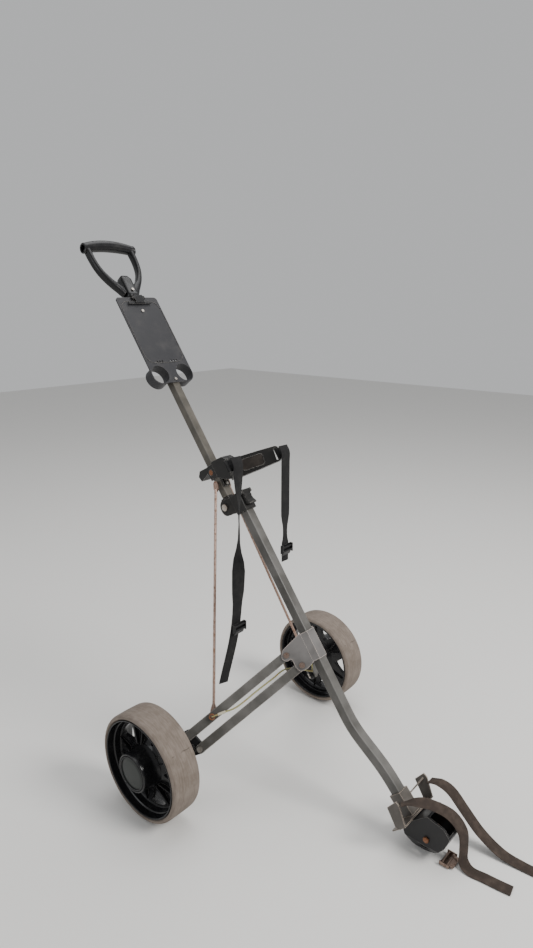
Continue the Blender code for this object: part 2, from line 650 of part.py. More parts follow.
def wheel(name, sign):
    """Foam tyre on a dished, spoked rim, with a cap over the axle's end."""
    centre = side(AXLE_POINT, sign)
    turn = Matrix.Translation(centre) @ Matrix.Rotation(radians(-90 * sign), 4, "X")
    half, lip = WHEEL_WIDTH / 2, 3 * MM
    out, rim = WHEEL_RADIUS, RIM_RADIUS
    crown = 8 * MM
    shoulder = [(out - crown * (1 - sin(a)) * 0.8, half - crown * (1 - cos(a)))
                for a in (0, pi / 6, pi / 3, pi / 2)]
    tyre = [(rim + GAP, -half + 2 * MM)] + [(r, -h) for r, h in shoulder] \
        + [(r, h) for r, h in reversed(shoulder)] + [(rim + GAP, half - 2 * MM)]
    turned(f"tyre_{name}", tyre, 56, matrix=turn, mat=TYRE)
    # Rim: a deep barrel with a lip, a web well inside it, and a hub that flares out of the web.
    barrel = rim - 4.5 * MM
    front, back = WEB_HALF, -WEB_HALF
    bore, seat = HUB * 0.55 + 1 * MM, half + HUB_REACH - CAP_DEPTH
    profile = [(bore, -half + 1 * MM), (15 * MM, -half + 1 * MM), (17 * MM, back - 12 * MM),
               (HUB_RADIUS, back), (barrel - 10 * MM, back), (barrel - 3 * MM, back - 6 * MM),
               (barrel, -half + 3 * MM), (rim, -half + 2 * MM), (rim, half - 1 * MM),
               (barrel + 1 * MM, half - 2 * MM), (barrel, front + 15 * MM), (barrel - 4 * MM, front + 13 * MM),
               (barrel - 5 * MM, front + 2 * MM), (barrel - 8 * MM, front), (HUB_RADIUS + 12 * MM, front),
               (HUB_RADIUS + 5 * MM, front + 5 * MM), (HUB_RADIUS, front + 22 * MM),
               (HUB_RADIUS, half + HUB_REACH - 4 * MM), (CAP_RADIUS + GAP, half + HUB_REACH - 3 * MM),
               (CAP_RADIUS + GAP, seat), (bore, seat)]
    made = turned(f"rim_{name}", profile, 56, matrix=turn, mat=RIM_BLACK)
    inner, outer = HUB_RADIUS + 8 * MM, barrel - 11 * MM
    wide, narrow = 0.36, 0.10
    for index in range(SPOKES):
        middle = pi + 2 * pi * index / SPOKES         # one window faces straight forward
        arc_out = [(outer * cos(middle + wide * t), outer * sin(middle + wide * t))
                   for t in (-1, -0.6, -0.2, 0.2, 0.6, 1)]
        arc_in = [(inner * cos(middle + narrow * t), inner * sin(middle + narrow * t)) for t in (1, 0, -1)]
        window = slab(f"window_{name}_{index}", arc_out + arc_in, -half, half,
                      matrix=turn @ Matrix.Rotation(radians(90), 4, "X"))
        boolean(made, window)
    edge = half + HUB_REACH
    cap = [(0, seat + GAP), (CAP_RADIUS, seat + GAP), (CAP_RADIUS, edge - 1.5 * MM),
           (CAP_RADIUS - 1.5 * MM, edge), (CAP_RADIUS - 3 * MM, edge), (CAP_RADIUS - 4 * MM, edge - 1.2 * MM),
           (0, edge - 0.4 * MM)]
    turned(f"hub_cap_{name}", cap, 32, matrix=turn, mat=BLACK)
    inner_end = centre - Vector((0, (half + 24 * MM) * sign, 0))
    rod(f"axle_{name}", AXLE, inner_end + Vector((0, 3 * MM * sign, 0)),
        centre + Vector((0, (half - 13 * MM) * sign, 0)), mat=STEEL)


# Upper shaft and what it carries ----------------------------------------------------------
UPPER_HALF = UPPER_TUBE / 2
UPPER_START = 20 * MM


def upper_tube():
    low, high = UPPER_START, UPPER_TOP
    made = sweep("upper_tube", square(UPPER_HALF, 2 * MM), [(UPPER_X, 0, low), (UPPER_X, 0, high)],
                 (0, 1, 0), mat=SHAFT_PAINT)
    boolean(made, sweep("upper_tube_bore", square(UPPER_HALF - TUBE_WALL, 1 * MM),
                        [(UPPER_X, 0, low - MM), (UPPER_X, 0, high + MM)], (0, 1, 0)))
    return drill(made, 3.1 * MM, (UPPER_X, -0.02, STAY_TOP.z), (UPPER_X, 0.02, STAY_TOP.z), steps=16)


def fold_tongue():
    """Black plug in the upper tube's foot, with the tongue that turns on the fold bolt."""
    plug = UPPER_HALF - TUBE_WALL - GAP
    disc = 14.5 * MM
    outline = rounded([(HINGE_X - disc, disc, 14.4 * MM), (HINGE_X - disc, -disc, 14.4 * MM),
                       (HINGE_X + disc, -disc, 14.4 * MM), (HINGE_X + disc, UPPER_START - GAP, 0),
                       (HINGE_X - disc + 6 * MM, UPPER_START - GAP, 0)], 8)
    made = slab("fold_tongue", outline, -TONGUE, TONGUE, mat=BLACK)
    boolean(made, box("tongue_plug", (UPPER_X - plug, -plug, UPPER_START - 2 * MM),
                      (UPPER_X + plug, plug, STAY_TOP.z - 6 * MM)), "UNION")
    return drill(made, HINGE_BOLT + RUNNING, (HINGE_X, -0.03, 0), (HINGE_X, 0.03, 0))


CLAMP_LOW, CLAMP_HIGH = 62 * MM, 92 * MM
CLAMP_IN = UPPER_HALF + GAP
CLAMP_WALL = 3 * MM             # thin, because the stays pass beside it when folded
SLOT_IN, SLOT_OUT = 5 * MM, 10.5 * MM     # from the arm's tip
SLOT_TALL = 24 * MM
TONGUE_SCREWS = (43 * MM, 51 * MM)


def arm_frame(sign):
    """X runs out along the arm, Y through its thickness, Z up the mast; at the arm's root."""
    run = side(ARM_TIP - ARM_ROOT, sign)
    return frame_at(side(ARM_ROOT, sign), run, (0, 0, 1))


def bag_bracket():
    """Black clamp on the upper tube: front block, tongue plate, rear hook and two bag arms."""
    wall = CLAMP_WALL
    back, front = UPPER_X - CLAMP_IN - wall, UPPER_X + CLAMP_IN + wall
    made = box("bag_bracket", (back, -CLAMP_IN - wall, CLAMP_LOW), (front, CLAMP_IN + wall, CLAMP_HIGH),
               mat=BLACK, bevel=1.5 * MM)
    nose = rounded([(front - 2 * MM, CLAMP_HIGH + 3 * MM, 2 * MM), (14 * MM, CLAMP_HIGH - 2 * MM, 4 * MM),
                    (24 * MM, CLAMP_HIGH - 14 * MM, 5 * MM), (22 * MM, CLAMP_LOW - 24 * MM, 4 * MM),
                    (4 * MM, CLAMP_LOW - 18 * MM, 4 * MM), (front - 2 * MM, CLAMP_LOW - 2 * MM, 0)], 3)
    boolean(made, slab("bracket_nose", nose, -13 * MM, 13 * MM), "UNION")
    tongue = box("bracket_tongue", (UPPER_X + CLAMP_IN, -8 * MM, 18 * MM + UPPER_START),
                 (UPPER_X + CLAMP_IN + 4 * MM, 8 * MM, CLAMP_LOW + 2 * MM))
    boolean(made, tongue, "UNION")
    hook = rounded([(back + MM, CLAMP_LOW + 30 * MM, 0), (back - 20 * MM, CLAMP_LOW + 33 * MM, 3 * MM),
                    (back - 30 * MM, CLAMP_LOW + 24 * MM, 2 * MM), (back - 27 * MM, CLAMP_LOW + 12 * MM, 2 * MM),
                    (back - 21 * MM, CLAMP_LOW + 13 * MM, 2 * MM), (back + MM, CLAMP_LOW + 18 * MM, 0)], 3)
    boolean(made, slab("bracket_hook", hook, -11 * MM, 11 * MM), "UNION")
    length = (ARM_TIP - ARM_ROOT).length
    for name, sign in SIDES.items():
        arm = rounded([(-4 * MM, 20 * MM, 0), (length * 0.6, 18 * MM, 20 * MM), (length, 16 * MM, 7 * MM),
                       (length, -15 * MM, 7 * MM), (length * 0.5, -19 * MM, 20 * MM), (-4 * MM, -22 * MM, 0)], 3)
        half = ARM_THICK / 2
        boolean(made, slab(f"bag_arm_{name}", arm, -half, half, matrix=arm_frame(sign)), "UNION")
    for name, sign in SIDES.items():
        slot = rounded([(length - SLOT_OUT, SLOT_TALL / 2, 1.5 * MM), (length - SLOT_IN, SLOT_TALL / 2, 1.5 * MM),
                        (length - SLOT_IN, -SLOT_TALL / 2, 1.5 * MM),
                        (length - SLOT_OUT, -SLOT_TALL / 2, 1.5 * MM)], 2)
        boolean(made, slab(f"bag_slot_{name}", slot, -6 * MM, 6 * MM, matrix=arm_frame(sign)))
    boolean(made, box("clamp_bore", (UPPER_X - CLAMP_IN, -CLAMP_IN, UPPER_START),
                      (UPPER_X + CLAMP_IN, CLAMP_IN, CLAMP_HIGH + 0.03)))
    drill(made, 3.1 * MM, (UPPER_X - 2 * MM, -0.03, 77 * MM), (UPPER_X - 2 * MM, -CLAMP_IN, 77 * MM), steps=16)
    drill(made, 6 * MM, (UPPER_X - 2 * MM, -0.03, 77 * MM), (UPPER_X - 2 * MM, -CLAMP_IN - 1.8 * MM, 77 * MM))
    for z in TONGUE_SCREWS:
        drill(made, 1.9 * MM, (UPPER_X + CLAMP_IN - MM, 0, z), (UPPER_X + CLAMP_IN + 5 * MM, 0, z), steps=12)
    return made


def bracket_screws():
    """The clamp's side screw and the two short screws in the tongue plate."""
    start, seat = -CLAMP_IN - 0.1 * MM, -CLAMP_IN - 1.8 * MM - GAP
    x = UPPER_X - 2 * MM
    made = rod("clamp_screw", 2.8 * MM, (x, start, 77 * MM), (x, seat - 0.6 * MM, 77 * MM), steps=16,
               mat=RUSTY)
    boolean(made, rod("clamp_screw_head", 5.4 * MM, (x, seat, 77 * MM), (x, seat - 1.2 * MM, 77 * MM),
                      steps=16), "UNION")
    x = UPPER_X + CLAMP_IN + 4 * MM
    for name, z in zip(("low", "high"), TONGUE_SCREWS):
        screw = rod(f"tongue_screw_{name}", 1.8 * MM, (x - 3.6 * MM, 0, z), (x + GAP + MM, 0, z), steps=12, mat=STEEL)
        boolean(screw, rod(f"tongue_head_{name}", 3.4 * MM, (x + GAP, 0, z), (x + GAP + 1.6 * MM, 0, z),
                           steps=16), "UNION")


# Scorecard plate and handle ---------------------------------------------------------------
CARD_X = UPPER_X + UPPER_HALF + GAP
CARD_THICK = 3 * MM
CUP_DEPTH = 20 * MM
CLIP_Z = PLATE_TOP - 12 * MM


def card_plate():
    """Plate on the mast's front with two ball cups behind its lower corners and tee slots."""
    half = PLATE_WIDTH / 2
    front = CARD_X + CARD_THICK
    outline = rounded([(half, PLATE_TOP, 7 * MM), (-half, PLATE_TOP, 7 * MM),
                       (-half, PLATE_BOTTOM, 24 * MM), (half, PLATE_BOTTOM, 24 * MM)], 6)
    turn = Matrix.Rotation(radians(90), 4, "Z")
    made = slab("card_plate", outline, -front, -CARD_X, matrix=turn, mat=CARD)
    hole_z = PLATE_BOTTOM + BALL_RISE
    for name, sign in SIDES.items():
        y = BALL_SPREAD * sign
        tube = rod(f"ball_cup_{name}", BALL_HOLE + 2 * MM, (CARD_X - CUP_DEPTH, y, hole_z),
                   (front - MM, y, hole_z), steps=36)
        boolean(made, tube, "UNION")
    for name, sign in SIDES.items():
        y = BALL_SPREAD * sign
        drill(made, BALL_HOLE, (CARD_X - 0.05, y, hole_z), (front + 0.01, y, hole_z), steps=36)
        for count, offset in enumerate((12, 19, 26)):
            z = hole_z + 30 * MM
            drill(made, 2.4 * MM, (CARD_X - 0.01, offset * MM * sign, z), (front + 0.01, offset * MM * sign, z),
                  steps=12)
    tube_room = UPPER_HALF + GAP
    boolean(made, box("cup_room", (UPPER_X - 0.03, -tube_room, PLATE_BOTTOM - 0.01),
                      (CARD_X, tube_room, hole_z + 0.03)))
    for z in (PLATE_BOTTOM + 7 * MM, PLATE_TOP - 34 * MM):
        drill(made, 2.1 * MM, (CARD_X - 0.01, 0, z), (front + 0.01, 0, z), steps=12)
    return made


def card_screws():
    x = CARD_X + CARD_THICK
    for name, z in (("low", PLATE_BOTTOM + 7 * MM), ("high", PLATE_TOP - 34 * MM)):
        screw = rod(f"card_screw_{name}", 1.8 * MM, (CARD_X + 0.2 * MM, 0, z), (x + MM, 0, z), steps=12, mat=STEEL)
        boolean(screw, rod(f"card_head_{name}", 3.2 * MM, (x + 0.3 * MM, 0, z), (x + 1.8 * MM, 0, z),
                           steps=16), "UNION")


CLIP_AXIS = Vector((CARD_X + CARD_THICK + 5.5 * MM, 0, PLATE_TOP - 4 * MM))


def card_clip():
    """Spring clip for the card: two lugs, a pin, and a bar that lifts off the plate."""
    x = CARD_X + CARD_THICK + 0.3 * MM
    lug = rounded([(x, PLATE_TOP - 10 * MM, 0), (CLIP_AXIS.x + 3 * MM, PLATE_TOP - 8 * MM, 2 * MM),
                   (CLIP_AXIS.x + 3 * MM, PLATE_TOP - MM, 2.5 * MM), (x, PLATE_TOP, 0)], 3)
    base = box("clip_mount", (x, -15 * MM, PLATE_TOP - 10 * MM), (x + 1.2 * MM, 15 * MM, PLATE_TOP), mat=BLACK)
    for name, sign in SIDES.items():
        low, high = sorted((11.5 * MM * sign, 15 * MM * sign))
        boolean(base, slab(f"clip_lug_{name}", lug, low, high), "UNION")
    drill(base, 1.3 * MM, CLIP_AXIS - Vector((0, 0.03, 0)), CLIP_AXIS + Vector((0, 0.03, 0)), steps=12)
    bar_x = x + 1.7 * MM
    made = box("card_clip", (bar_x + 0.2 * MM, -30 * MM, PLATE_TOP - 19 * MM),
               (bar_x + 2.4 * MM, 30 * MM, PLATE_TOP - 12.5 * MM), mat=BLACK, bevel=0.7 * MM)
    block = rounded([(bar_x + 0.2 * MM, PLATE_TOP - 18 * MM, 0), (bar_x + 5 * MM, PLATE_TOP - 18 * MM, 2 * MM),
                     (CLIP_AXIS.x + 3 * MM, PLATE_TOP + 2 * MM, 2 * MM),
                     (CLIP_AXIS.x - 2.4 * MM, PLATE_TOP + 2 * MM, MM)], 3)
    boolean(made, slab("clip_block", block, -11 * MM, 11 * MM), "UNION")
    drill(made, 1.2 * MM + RUNNING, CLIP_AXIS - Vector((0, 0.03, 0)), CLIP_AXIS + Vector((0, 0.03, 0)), steps=12)
    rod("clip_pin", 1.2 * MM, CLIP_AXIS - Vector((0, 15 * MM, 0)), CLIP_AXIS + Vector((0, 15 * MM, 0)),
        steps=12, mat=STEEL)


SOCKET_LOW, SOCKET_HIGH = 497 * MM, 541 * MM


def handle():
    """D handle: a square socket, two arms and an arched hollow grip."""
    inside = UPPER_HALF + GAP
    wall = 4 * MM
    made = box("handle", (UPPER_X - inside - wall, -inside - wall, SOCKET_LOW),
               (UPPER_X + inside + wall, inside + wall, SOCKET_HIGH + 6 * MM), mat=BLACK,
               bevel=2 * MM, rounds=2)
    arch = [(UPPER_X, GRIP_HALF * t, GRIP_RISE + 9 * MM * (1 - t * t)) for t in
            (-1, -0.75, -0.5, -0.25, 0, 0.25, 0.5, 0.75, 1)]
    boolean(made, sweep("grip_tube", round_section(GRIP_RADIUS, 20), arch, (1, 0, 0)), "UNION")
    for name, sign in SIDES.items():
        route = smooth_route([(UPPER_X, (inside - MM) * sign, SOCKET_LOW + 14 * MM),
                              (UPPER_X, 34 * MM * sign, SOCKET_LOW + 40 * MM),
                              (UPPER_X, 54 * MM * sign, SOCKET_LOW + 78 * MM),
                              (UPPER_X, 57 * MM * sign, GRIP_RISE)], 3)
        arm = rounded([(9 * MM, 6 * MM, 3 * MM), (-9 * MM, 6 * MM, 3 * MM),
                       (-9 * MM, -6 * MM, 3 * MM), (9 * MM, -6 * MM, 3 * MM)], 2)
        boolean(made, sweep(f"handle_arm_{name}", arm, route, (1, 0, 0)), "UNION")
        end = (UPPER_X, (GRIP_HALF + MM) * sign, GRIP_RISE - MM)
        boolean(made, rod(f"grip_bore_{name}", GRIP_RADIUS - 3.5 * MM, end,
                          (UPPER_X, (GRIP_HALF - 26 * MM) * sign, GRIP_RISE + 3 * MM)))
    boolean(made, box("handle_bore", (UPPER_X - inside, -inside, SOCKET_LOW - MM),
                      (UPPER_X + inside, inside, SOCKET_HIGH)))
    x = UPPER_X + inside + wall
    drill(made, 2.1 * MM, (x - wall - MM, 0, SOCKET_LOW + 16 * MM), (x + MM, 0, SOCKET_LOW + 16 * MM), steps=12)
    screw = rod("handle_screw", 1.8 * MM, (x - wall + 0.2 * MM, 0, SOCKET_LOW + 16 * MM),
                (x + MM, 0, SOCKET_LOW + 16 * MM), steps=12, mat=STEEL)
    boolean(screw, rod("handle_screw_head", 3.2 * MM, (x + 0.3 * MM, 0, SOCKET_LOW + 16 * MM),
                       (x + 2 * MM, 0, SOCKET_LOW + 16 * MM), steps=16), "UNION")


# Webbing ----------------------------------------------------------------------------------
DOWN = (MAST.to_3x3().inverted() @ Vector((0, 0, -1))).normalized()


def bag_strap(name, sign, drop, sway, buckle_drop):
    """Webbing that hangs straight down from beyond an arm's tip, with its cam buckle."""
    tip = side(ARM_TIP, sign) + Vector((STRAP_CLEAR, 0, 0))
    swing = Vector((0, sway, 0))
    route = smooth_route([tip + Vector((-3, 0, 9)) * MM, tip + DOWN * 8 * MM, tip + DOWN * 30 * MM,
                          tip + DOWN * drop * 0.35, tip + DOWN * drop * 0.7 + swing * 0.3,
                          tip + DOWN * drop + swing], 3)
    made = sweep(f"bag_strap_{name}", strip(WEB_WIDTH, WEB_THICK), route, (0, 1, 0), mat=WEBBING)
    ahead = Vector((-DOWN.z, 0, DOWN.x))
    middle = tip + ahead * (WEB_THICK / 2 + GAP) + DOWN * buckle_drop + swing * 0.25
    seat = Matrix.Translation(middle) @ Matrix((Vector((0, 1, 0)), ahead, DOWN)).transposed().to_4x4()
    outline = rounded([(-16 * MM, -9 * MM, 2 * MM), (16 * MM, -9 * MM, 2 * MM),
                       (16 * MM, 9 * MM, 2 * MM), (-16 * MM, 9 * MM, 2 * MM)], 2)
    slab(f"bag_buckle_{name}", outline, 0, 5 * MM, matrix=seat, mat=BLACK)
    return made


# Foot, in the ground frame ----------------------------------------------------------------
TOE = MAST @ Vector((TOE_END[0], 0, TOE_END[1]))
TOE_RUN = (MAST.to_3x3() @ Vector((TOE_END[0] - TOE_BEND[0], 0, TOE_END[1] - TOE_BEND[1]))).normalized()
SHEET = 2.5 * MM                # the foot bracket's metal
SOLE = 14.5 * MM                # its sole plate lies this far past the tube's end
SHOE_HALF = 24 * MM
KEEL_HALF = 8 * MM
KEEL_RISE = 26 * MM
FOOT_BOLT = Vector((52, 0, -22)) * MM            # from the tube's end
STRAP_TOE = 61.3 * MM           # the straps' points are for a tube that ends this high


def toe_frame():
    """X runs down the tube's last stretch, Y to the left, Z out of its front; at the tube's end."""
    return frame_at(TOE, TOE_RUN, (0, 0, 1))


def foot_side(name, points, low, high, **rest):
    """A side outline given in millimetres forward of and above the tube's end."""
    outline = [(TOE.x + x * MM, TOE.z + z * MM) for x, z in points]
    return slab(name, outline, low, high, parent=ground, **rest)


def foot_bracket():
    """Pressed grey sleeve on the tube's end, with a sole plate, a wing and a flange on each side."""
    turn = toe_frame()
    inside = TUBE_HALF + GAP
    outside = inside + SHEET
    made = box("foot_bracket", (-30 * MM, -outside, -outside), (SOLE, outside, outside), matrix=turn,
               parent=ground, mat=GREY_PAINT)
    boolean(made, box("foot_sole", (SOLE - SHEET, -FOOT_HALF, -12 * MM), (SOLE, FOOT_HALF, 20 * MM),
                      matrix=turn, parent=ground), "UNION")
    for name, sign in SIDES.items():
        low, high = sorted(((FOOT_HALF - SHEET) * sign, FOOT_HALF * sign))
        flange = [(-13, 23), (3, 43), (10, 38), (24, 3), (15, -7), (6, -8)]
        boolean(made, foot_side(f"foot_flange_{name}", flange, low, high), "UNION")
    # The wings stand in a plane that rises steeply forward from the sleeve.
    rise = Vector((0.45, 0, 0.893)).normalized()
    wing = [(-FOOT_HALF, 34 * MM), (-FOOT_HALF, 56 * MM), (-30 * MM, 30 * MM), (-8 * MM, 20 * MM),
            (8 * MM, 20 * MM), (30 * MM, 30 * MM), (FOOT_HALF, 56 * MM), (FOOT_HALF, 34 * MM),
            (8 * MM, 2 * MM), (-8 * MM, 2 * MM)]
    across = Matrix((Vector((0, 1, 0)), rise.cross(Vector((0, 1, 0))), rise)).transposed().to_4x4()
    place = Matrix.Translation(TOE + Vector((-20, 0, -12)) * MM) @ across
    boolean(made, slab("foot_wings", wing, -SHEET / 2, SHEET / 2, matrix=place, parent=ground), "UNION")
    boolean(made, box("foot_socket", (-0.05, -inside, -inside), (SOLE - SHEET, inside, inside), matrix=turn,
                      parent=ground))
    return made


def foot_base():
    """Black V-bottomed shoe under the sole plate: a cup, open to the front, that stands on its keel."""
    floor = -TOE.z / MM
    section = [(-KEEL_HALF, 0), (KEEL_HALF, 0), (SHOE_HALF, KEEL_RISE), (SHOE_HALF, 0.12),
               (-SHOE_HALF, 0.12), (-SHOE_HALF, KEEL_RISE)]
    outline = [(-y, z) for y, z in section]
    made = slab("foot_base", outline, TOE.x - 0.01, TOE.x + 0.12, parent=ground, mat=BLACK,
                matrix=Matrix.Rotation(radians(-90), 4, "Z"))
    body = [(5, -23), (20, floor + 3), (26, floor), (41, floor), (63, floor + 11), (85, floor + 38),
            (94, floor + 62), (82, floor + 76), (50, floor + 84), (11, -11)]
    boolean(made, foot_side("foot_body", body, -0.06, 0.06), "INTERSECT")
    cup = [(26, floor + 44), (31, floor + 20), (42, floor + 10), (60, floor + 19), (79, floor + 42),
           (88, floor + 62), (110, floor + 80), (70, floor + 110), (46, floor + 70)]
    boolean(made, foot_side("foot_cup", cup, -SHOE_HALF + 4 * MM, SHOE_HALF - 4 * MM))
    here = TOE + FOOT_BOLT
    return drill(made, 3.1 * MM, here - Vector((0, 0.04, 0)), here + Vector((0, 0.04, 0)),
                 parent=ground, steps=16)


def foot_bolt():
    """Rusted bolt across the shoe's cup."""
    here = TOE + FOOT_BOLT
    reach = SHOE_HALF + GAP
    past = Vector((0, reach + 1.5 * MM, 0))
    made = rod("foot_bolt", 3 * MM, here - past, here + past, parent=ground, steps=16, mat=RUSTY)
    for name, sign in SIDES.items():
        start = here + Vector((0, reach * sign, 0))
        boolean(made, rod(f"foot_bolt_{name}", 5.5 * MM, start, start + Vector((0, 3 * MM * sign, 0)),
                          parent=ground, steps=6), "UNION")
    return made


def foot_straps():
    """Two webbing straps: one arches out to the ground on the left, one crosses to a buckle."""
    def placed(points):
        return smooth_route([Vector((TOE.x + x * MM, y * MM, z * MM * TOE.z / STRAP_TOE)) for x, y, z in points], 3)

    far = placed([(14, FOOT_HALF / MM + 3, 92), (34, 54, 97), (56, 57, 88), (82, 62, 58), (112, 65, 28),
                  (150, 66, 8), (185, 69, 2), (222, 72, 1.4)])
    sweep("foot_strap_left", strip(FOOT_WEB, WEB_THICK), far, (0.25, 1, 0), parent=ground, mat=BROWN_WEB)
    near = placed([(10, -44, 100), (28, -31, 106), (50, -14, 103), (82, 1, 90), (102, 9, 62), (106, 9, 30),
                   (109, 5, 8), (124, 0, 1.6), (148, 3, 1.4), (170, 5, 1.4), (193, 8, 1.4)])
    sweep("foot_strap_right", strip(FOOT_WEB, WEB_THICK), near, (0.3, 1, 0), parent=ground, mat=BROWN_WEB)
    box("foot_buckle", (TOE.x + 76 * MM, -20 * MM, 0.5 * MM), (TOE.x + 94 * MM, 14 * MM, 7 * MM),
        parent=ground, mat=STEEL, bevel=1 * MM)


# Cable between the legs, held at both stay pins and behind the mast -------------------------
CABLE_RADIUS = 1.5 * MM


def leg_cable():
    """Sleeved cable from pin to pin, running between the bars and behind the mast."""
    half = []
    for sign in (1, -1):
        face = side(FACE, sign)
        start = side(STAY_PIN, sign) + face * (BAR_THICK / 2 + 1.6 * MM + 2 * GAP + CABLE_RADIUS)
        inward = side(LEG_PIVOT, sign) - side(STAY_PIN, sign)
        drop = side(LINK, sign) * 0.5
        half.append([start, start + inward * 0.1 + drop * 0.4,
                     start + inward * 0.24 + drop * 0.95 - face * 4 * MM,
                     start + inward * 0.5 + drop - face * 8 * MM,
                     start + inward * 0.68 + drop * 1.1 - face * 17 * MM,
                     start + inward * 0.86 + drop * 1.3 - face * 22 * MM])
    behind = Vector((-TUBE_HALF - 22 * MM, 0, LEG_PIVOT.z - LINK_UP - 22 * MM))
    route = smooth_route(half[0] + [behind] + list(reversed(half[1])), 4)
    return sweep("leg_cable", round_section(CABLE_RADIUS, 8), route, (0, 0, 1), mat=CABLE)


# Joints: each has an empty on its axis, whose Z is the axis, and its moving pieces hang from it --
def joints():
    """(name, parent joint, point, axis, pieces) of every joint, in the mast frame, parents first."""
    screws = ["clamp_screw", "tongue_screw_low", "tongue_screw_high", "card_screw_low", "card_screw_high",
              "handle_screw"]
    shaft = ["upper_tube", "fold_tongue", "stay_cross_pin", "bag_bracket", "bag_strap_left",
             "bag_strap_right", "bag_buckle_left", "bag_buckle_right", "card_plate", "clip_mount",
             "clip_pin", "handle"]
    yield "shaft_fold", None, Vector((HINGE_X, 0, 0)), FOLD_AXIS, shaft + screws
    yield "card_clip_lift", "shaft_fold", CLIP_AXIS, FOLD_AXIS, ["card_clip"]
    yield "latch_release", None, LATCH_PIVOT, FOLD_AXIS, ["latch_lever"]
    for name, sign in SIDES.items():
        turn = side(FACE, sign) * -sign
        yield f"leg_fold_{name}", None, side(LEG_PIVOT, sign), turn, [f"leg_upper_{name}", f"stay_pin_{name}"]
        yield f"link_fold_{name}", None, side(LOWER_PIVOT, sign), turn, [f"leg_lower_{name}"]
        axis = side(STAY_AXIS, sign) * sign
        yield f"stay_swing_{name}", f"leg_fold_{name}", side(STAY_FOOT, sign), axis, [f"stay_{name}"]
        carried = [f"link_carrier_{name}", f"link_bolt_upper_{name}", f"link_bolt_lower_{name}", f"axle_{name}"]
        yield f"carrier_turn_{name}", f"leg_fold_{name}", side(LINK_BOLT, sign), turn, carried
        rolling = [f"tyre_{name}", f"rim_{name}", f"hub_cap_{name}"]
        yield f"wheel_spin_{name}", f"carrier_turn_{name}", side(AXLE_POINT, sign), Vector((0, 1, 0)), rolling


def hang_on_joints():
    """Parents every moving piece to its joint's empty, and leaves it where it is."""
    for name, above, point, axis, pieces in joints():
        sideways = axis.orthogonal()
        place = MAST @ frame_at(point, sideways, axis)
        holder = bpy.data.objects[f"joint_{above}"] if above else ground
        before = PLACED[holder.name] if above else Matrix.Identity(4)
        made = empty(f"joint_{name}", holder, before.inverted() @ place)
        PLACED[made.name] = place
        for label in pieces:
            piece = bpy.data.objects[label]
            piece.parent = made
            piece.matrix_local = place.inverted() @ PLACED[label]


def stand_on_origin():
    """Shifts the ground frame so that the box's bottom centre is the world's origin."""
    bpy.context.view_layer.update()
    graph = bpy.context.evaluated_depsgraph_get()
    ends = []
    for piece in PART.objects:
        if piece.type != "MESH":
            continue
        solid = piece.evaluated_get(graph)
        mesh = solid.to_mesh()
        ends += [solid.matrix_world @ point.co for point in mesh.vertices]
        solid.to_mesh_clear()
    low = Vector([min(point[axis] for point in ends) for axis in range(3)])
    high = Vector([max(point[axis] for point in ends) for axis in range(3)])
    ground.location = (-(low.x + high.x) / 2, -(low.y + high.y) / 2, -low.z)


def build():
    lower_tube()
    hinge_base()
    latch_lugs()
    hinge_bolt()
    latch_lever()
    latch_pin()
    leg_bracket()
    bracket_back()
    for name, sign in SIDES.items():
        leg(name, sign)
        link_carrier(name, sign)
        wheel(name, sign)
    leg_cable()
    stay_cross_pin()
    upper_tube()
    fold_tongue()
    bag_bracket()
    bracket_screws()
    bag_strap("left", 1, 236 * MM, 0, 208 * MM)
    bag_strap("right", -1, 446 * MM, -22 * MM, 330 * MM)
    card_plate()
    card_screws()
    card_clip()
    handle()
    foot_bracket()
    foot_base()
    foot_bolt()
    foot_straps()
    hang_on_joints()
    stand_on_origin()


build()
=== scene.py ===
# %% [markdown]
# A folding golf push cart: two wide foam wheels on swing-out legs, a leaning square mast in two
# pieces, a scorecard plate, a grip handle, and a foot that the bag's base rests on.
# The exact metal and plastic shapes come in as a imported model. This lesson adds what a moulder,
# painter and webbing weaver would: soft edges, worn finishes, tyres, spokes, straps and buckles.

import json
from math import cos, pi, radians, sin, tau

import bmesh
import bpy
from mathutils import Matrix, Vector, noise


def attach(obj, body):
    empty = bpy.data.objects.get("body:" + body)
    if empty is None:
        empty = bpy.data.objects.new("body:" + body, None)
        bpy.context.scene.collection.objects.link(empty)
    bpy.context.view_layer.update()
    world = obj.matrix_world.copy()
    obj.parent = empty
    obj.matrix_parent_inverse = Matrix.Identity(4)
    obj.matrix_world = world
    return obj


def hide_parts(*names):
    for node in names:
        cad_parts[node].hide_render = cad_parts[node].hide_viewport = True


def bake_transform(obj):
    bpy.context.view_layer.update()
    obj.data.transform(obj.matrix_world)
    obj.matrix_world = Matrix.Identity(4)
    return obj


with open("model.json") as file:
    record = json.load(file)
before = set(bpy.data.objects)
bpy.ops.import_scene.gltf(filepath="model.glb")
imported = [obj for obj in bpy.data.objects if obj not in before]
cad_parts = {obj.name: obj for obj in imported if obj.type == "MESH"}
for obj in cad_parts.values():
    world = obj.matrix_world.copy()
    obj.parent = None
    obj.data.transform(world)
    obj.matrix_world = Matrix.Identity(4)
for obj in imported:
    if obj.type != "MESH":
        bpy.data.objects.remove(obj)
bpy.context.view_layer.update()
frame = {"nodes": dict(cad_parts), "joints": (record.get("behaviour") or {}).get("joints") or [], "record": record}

MM = 0.001
SIDES = {"left": 1, "right": -1}
joints = {joint["name"]: joint for joint in frame["joints"]}
mounts = {mount["name"]: mount for mount in frame["record"]["mounts"]}

# %% [markdown]
# The mast leans back, so pieces on it are easier to place in its own frame: X is its forward
# normal, Y is the cart's left and Z runs up it. The fold hinge and the scorecard plate's face
# give that frame exactly. Route and outline numbers below are millimetres in it, or on the floor.

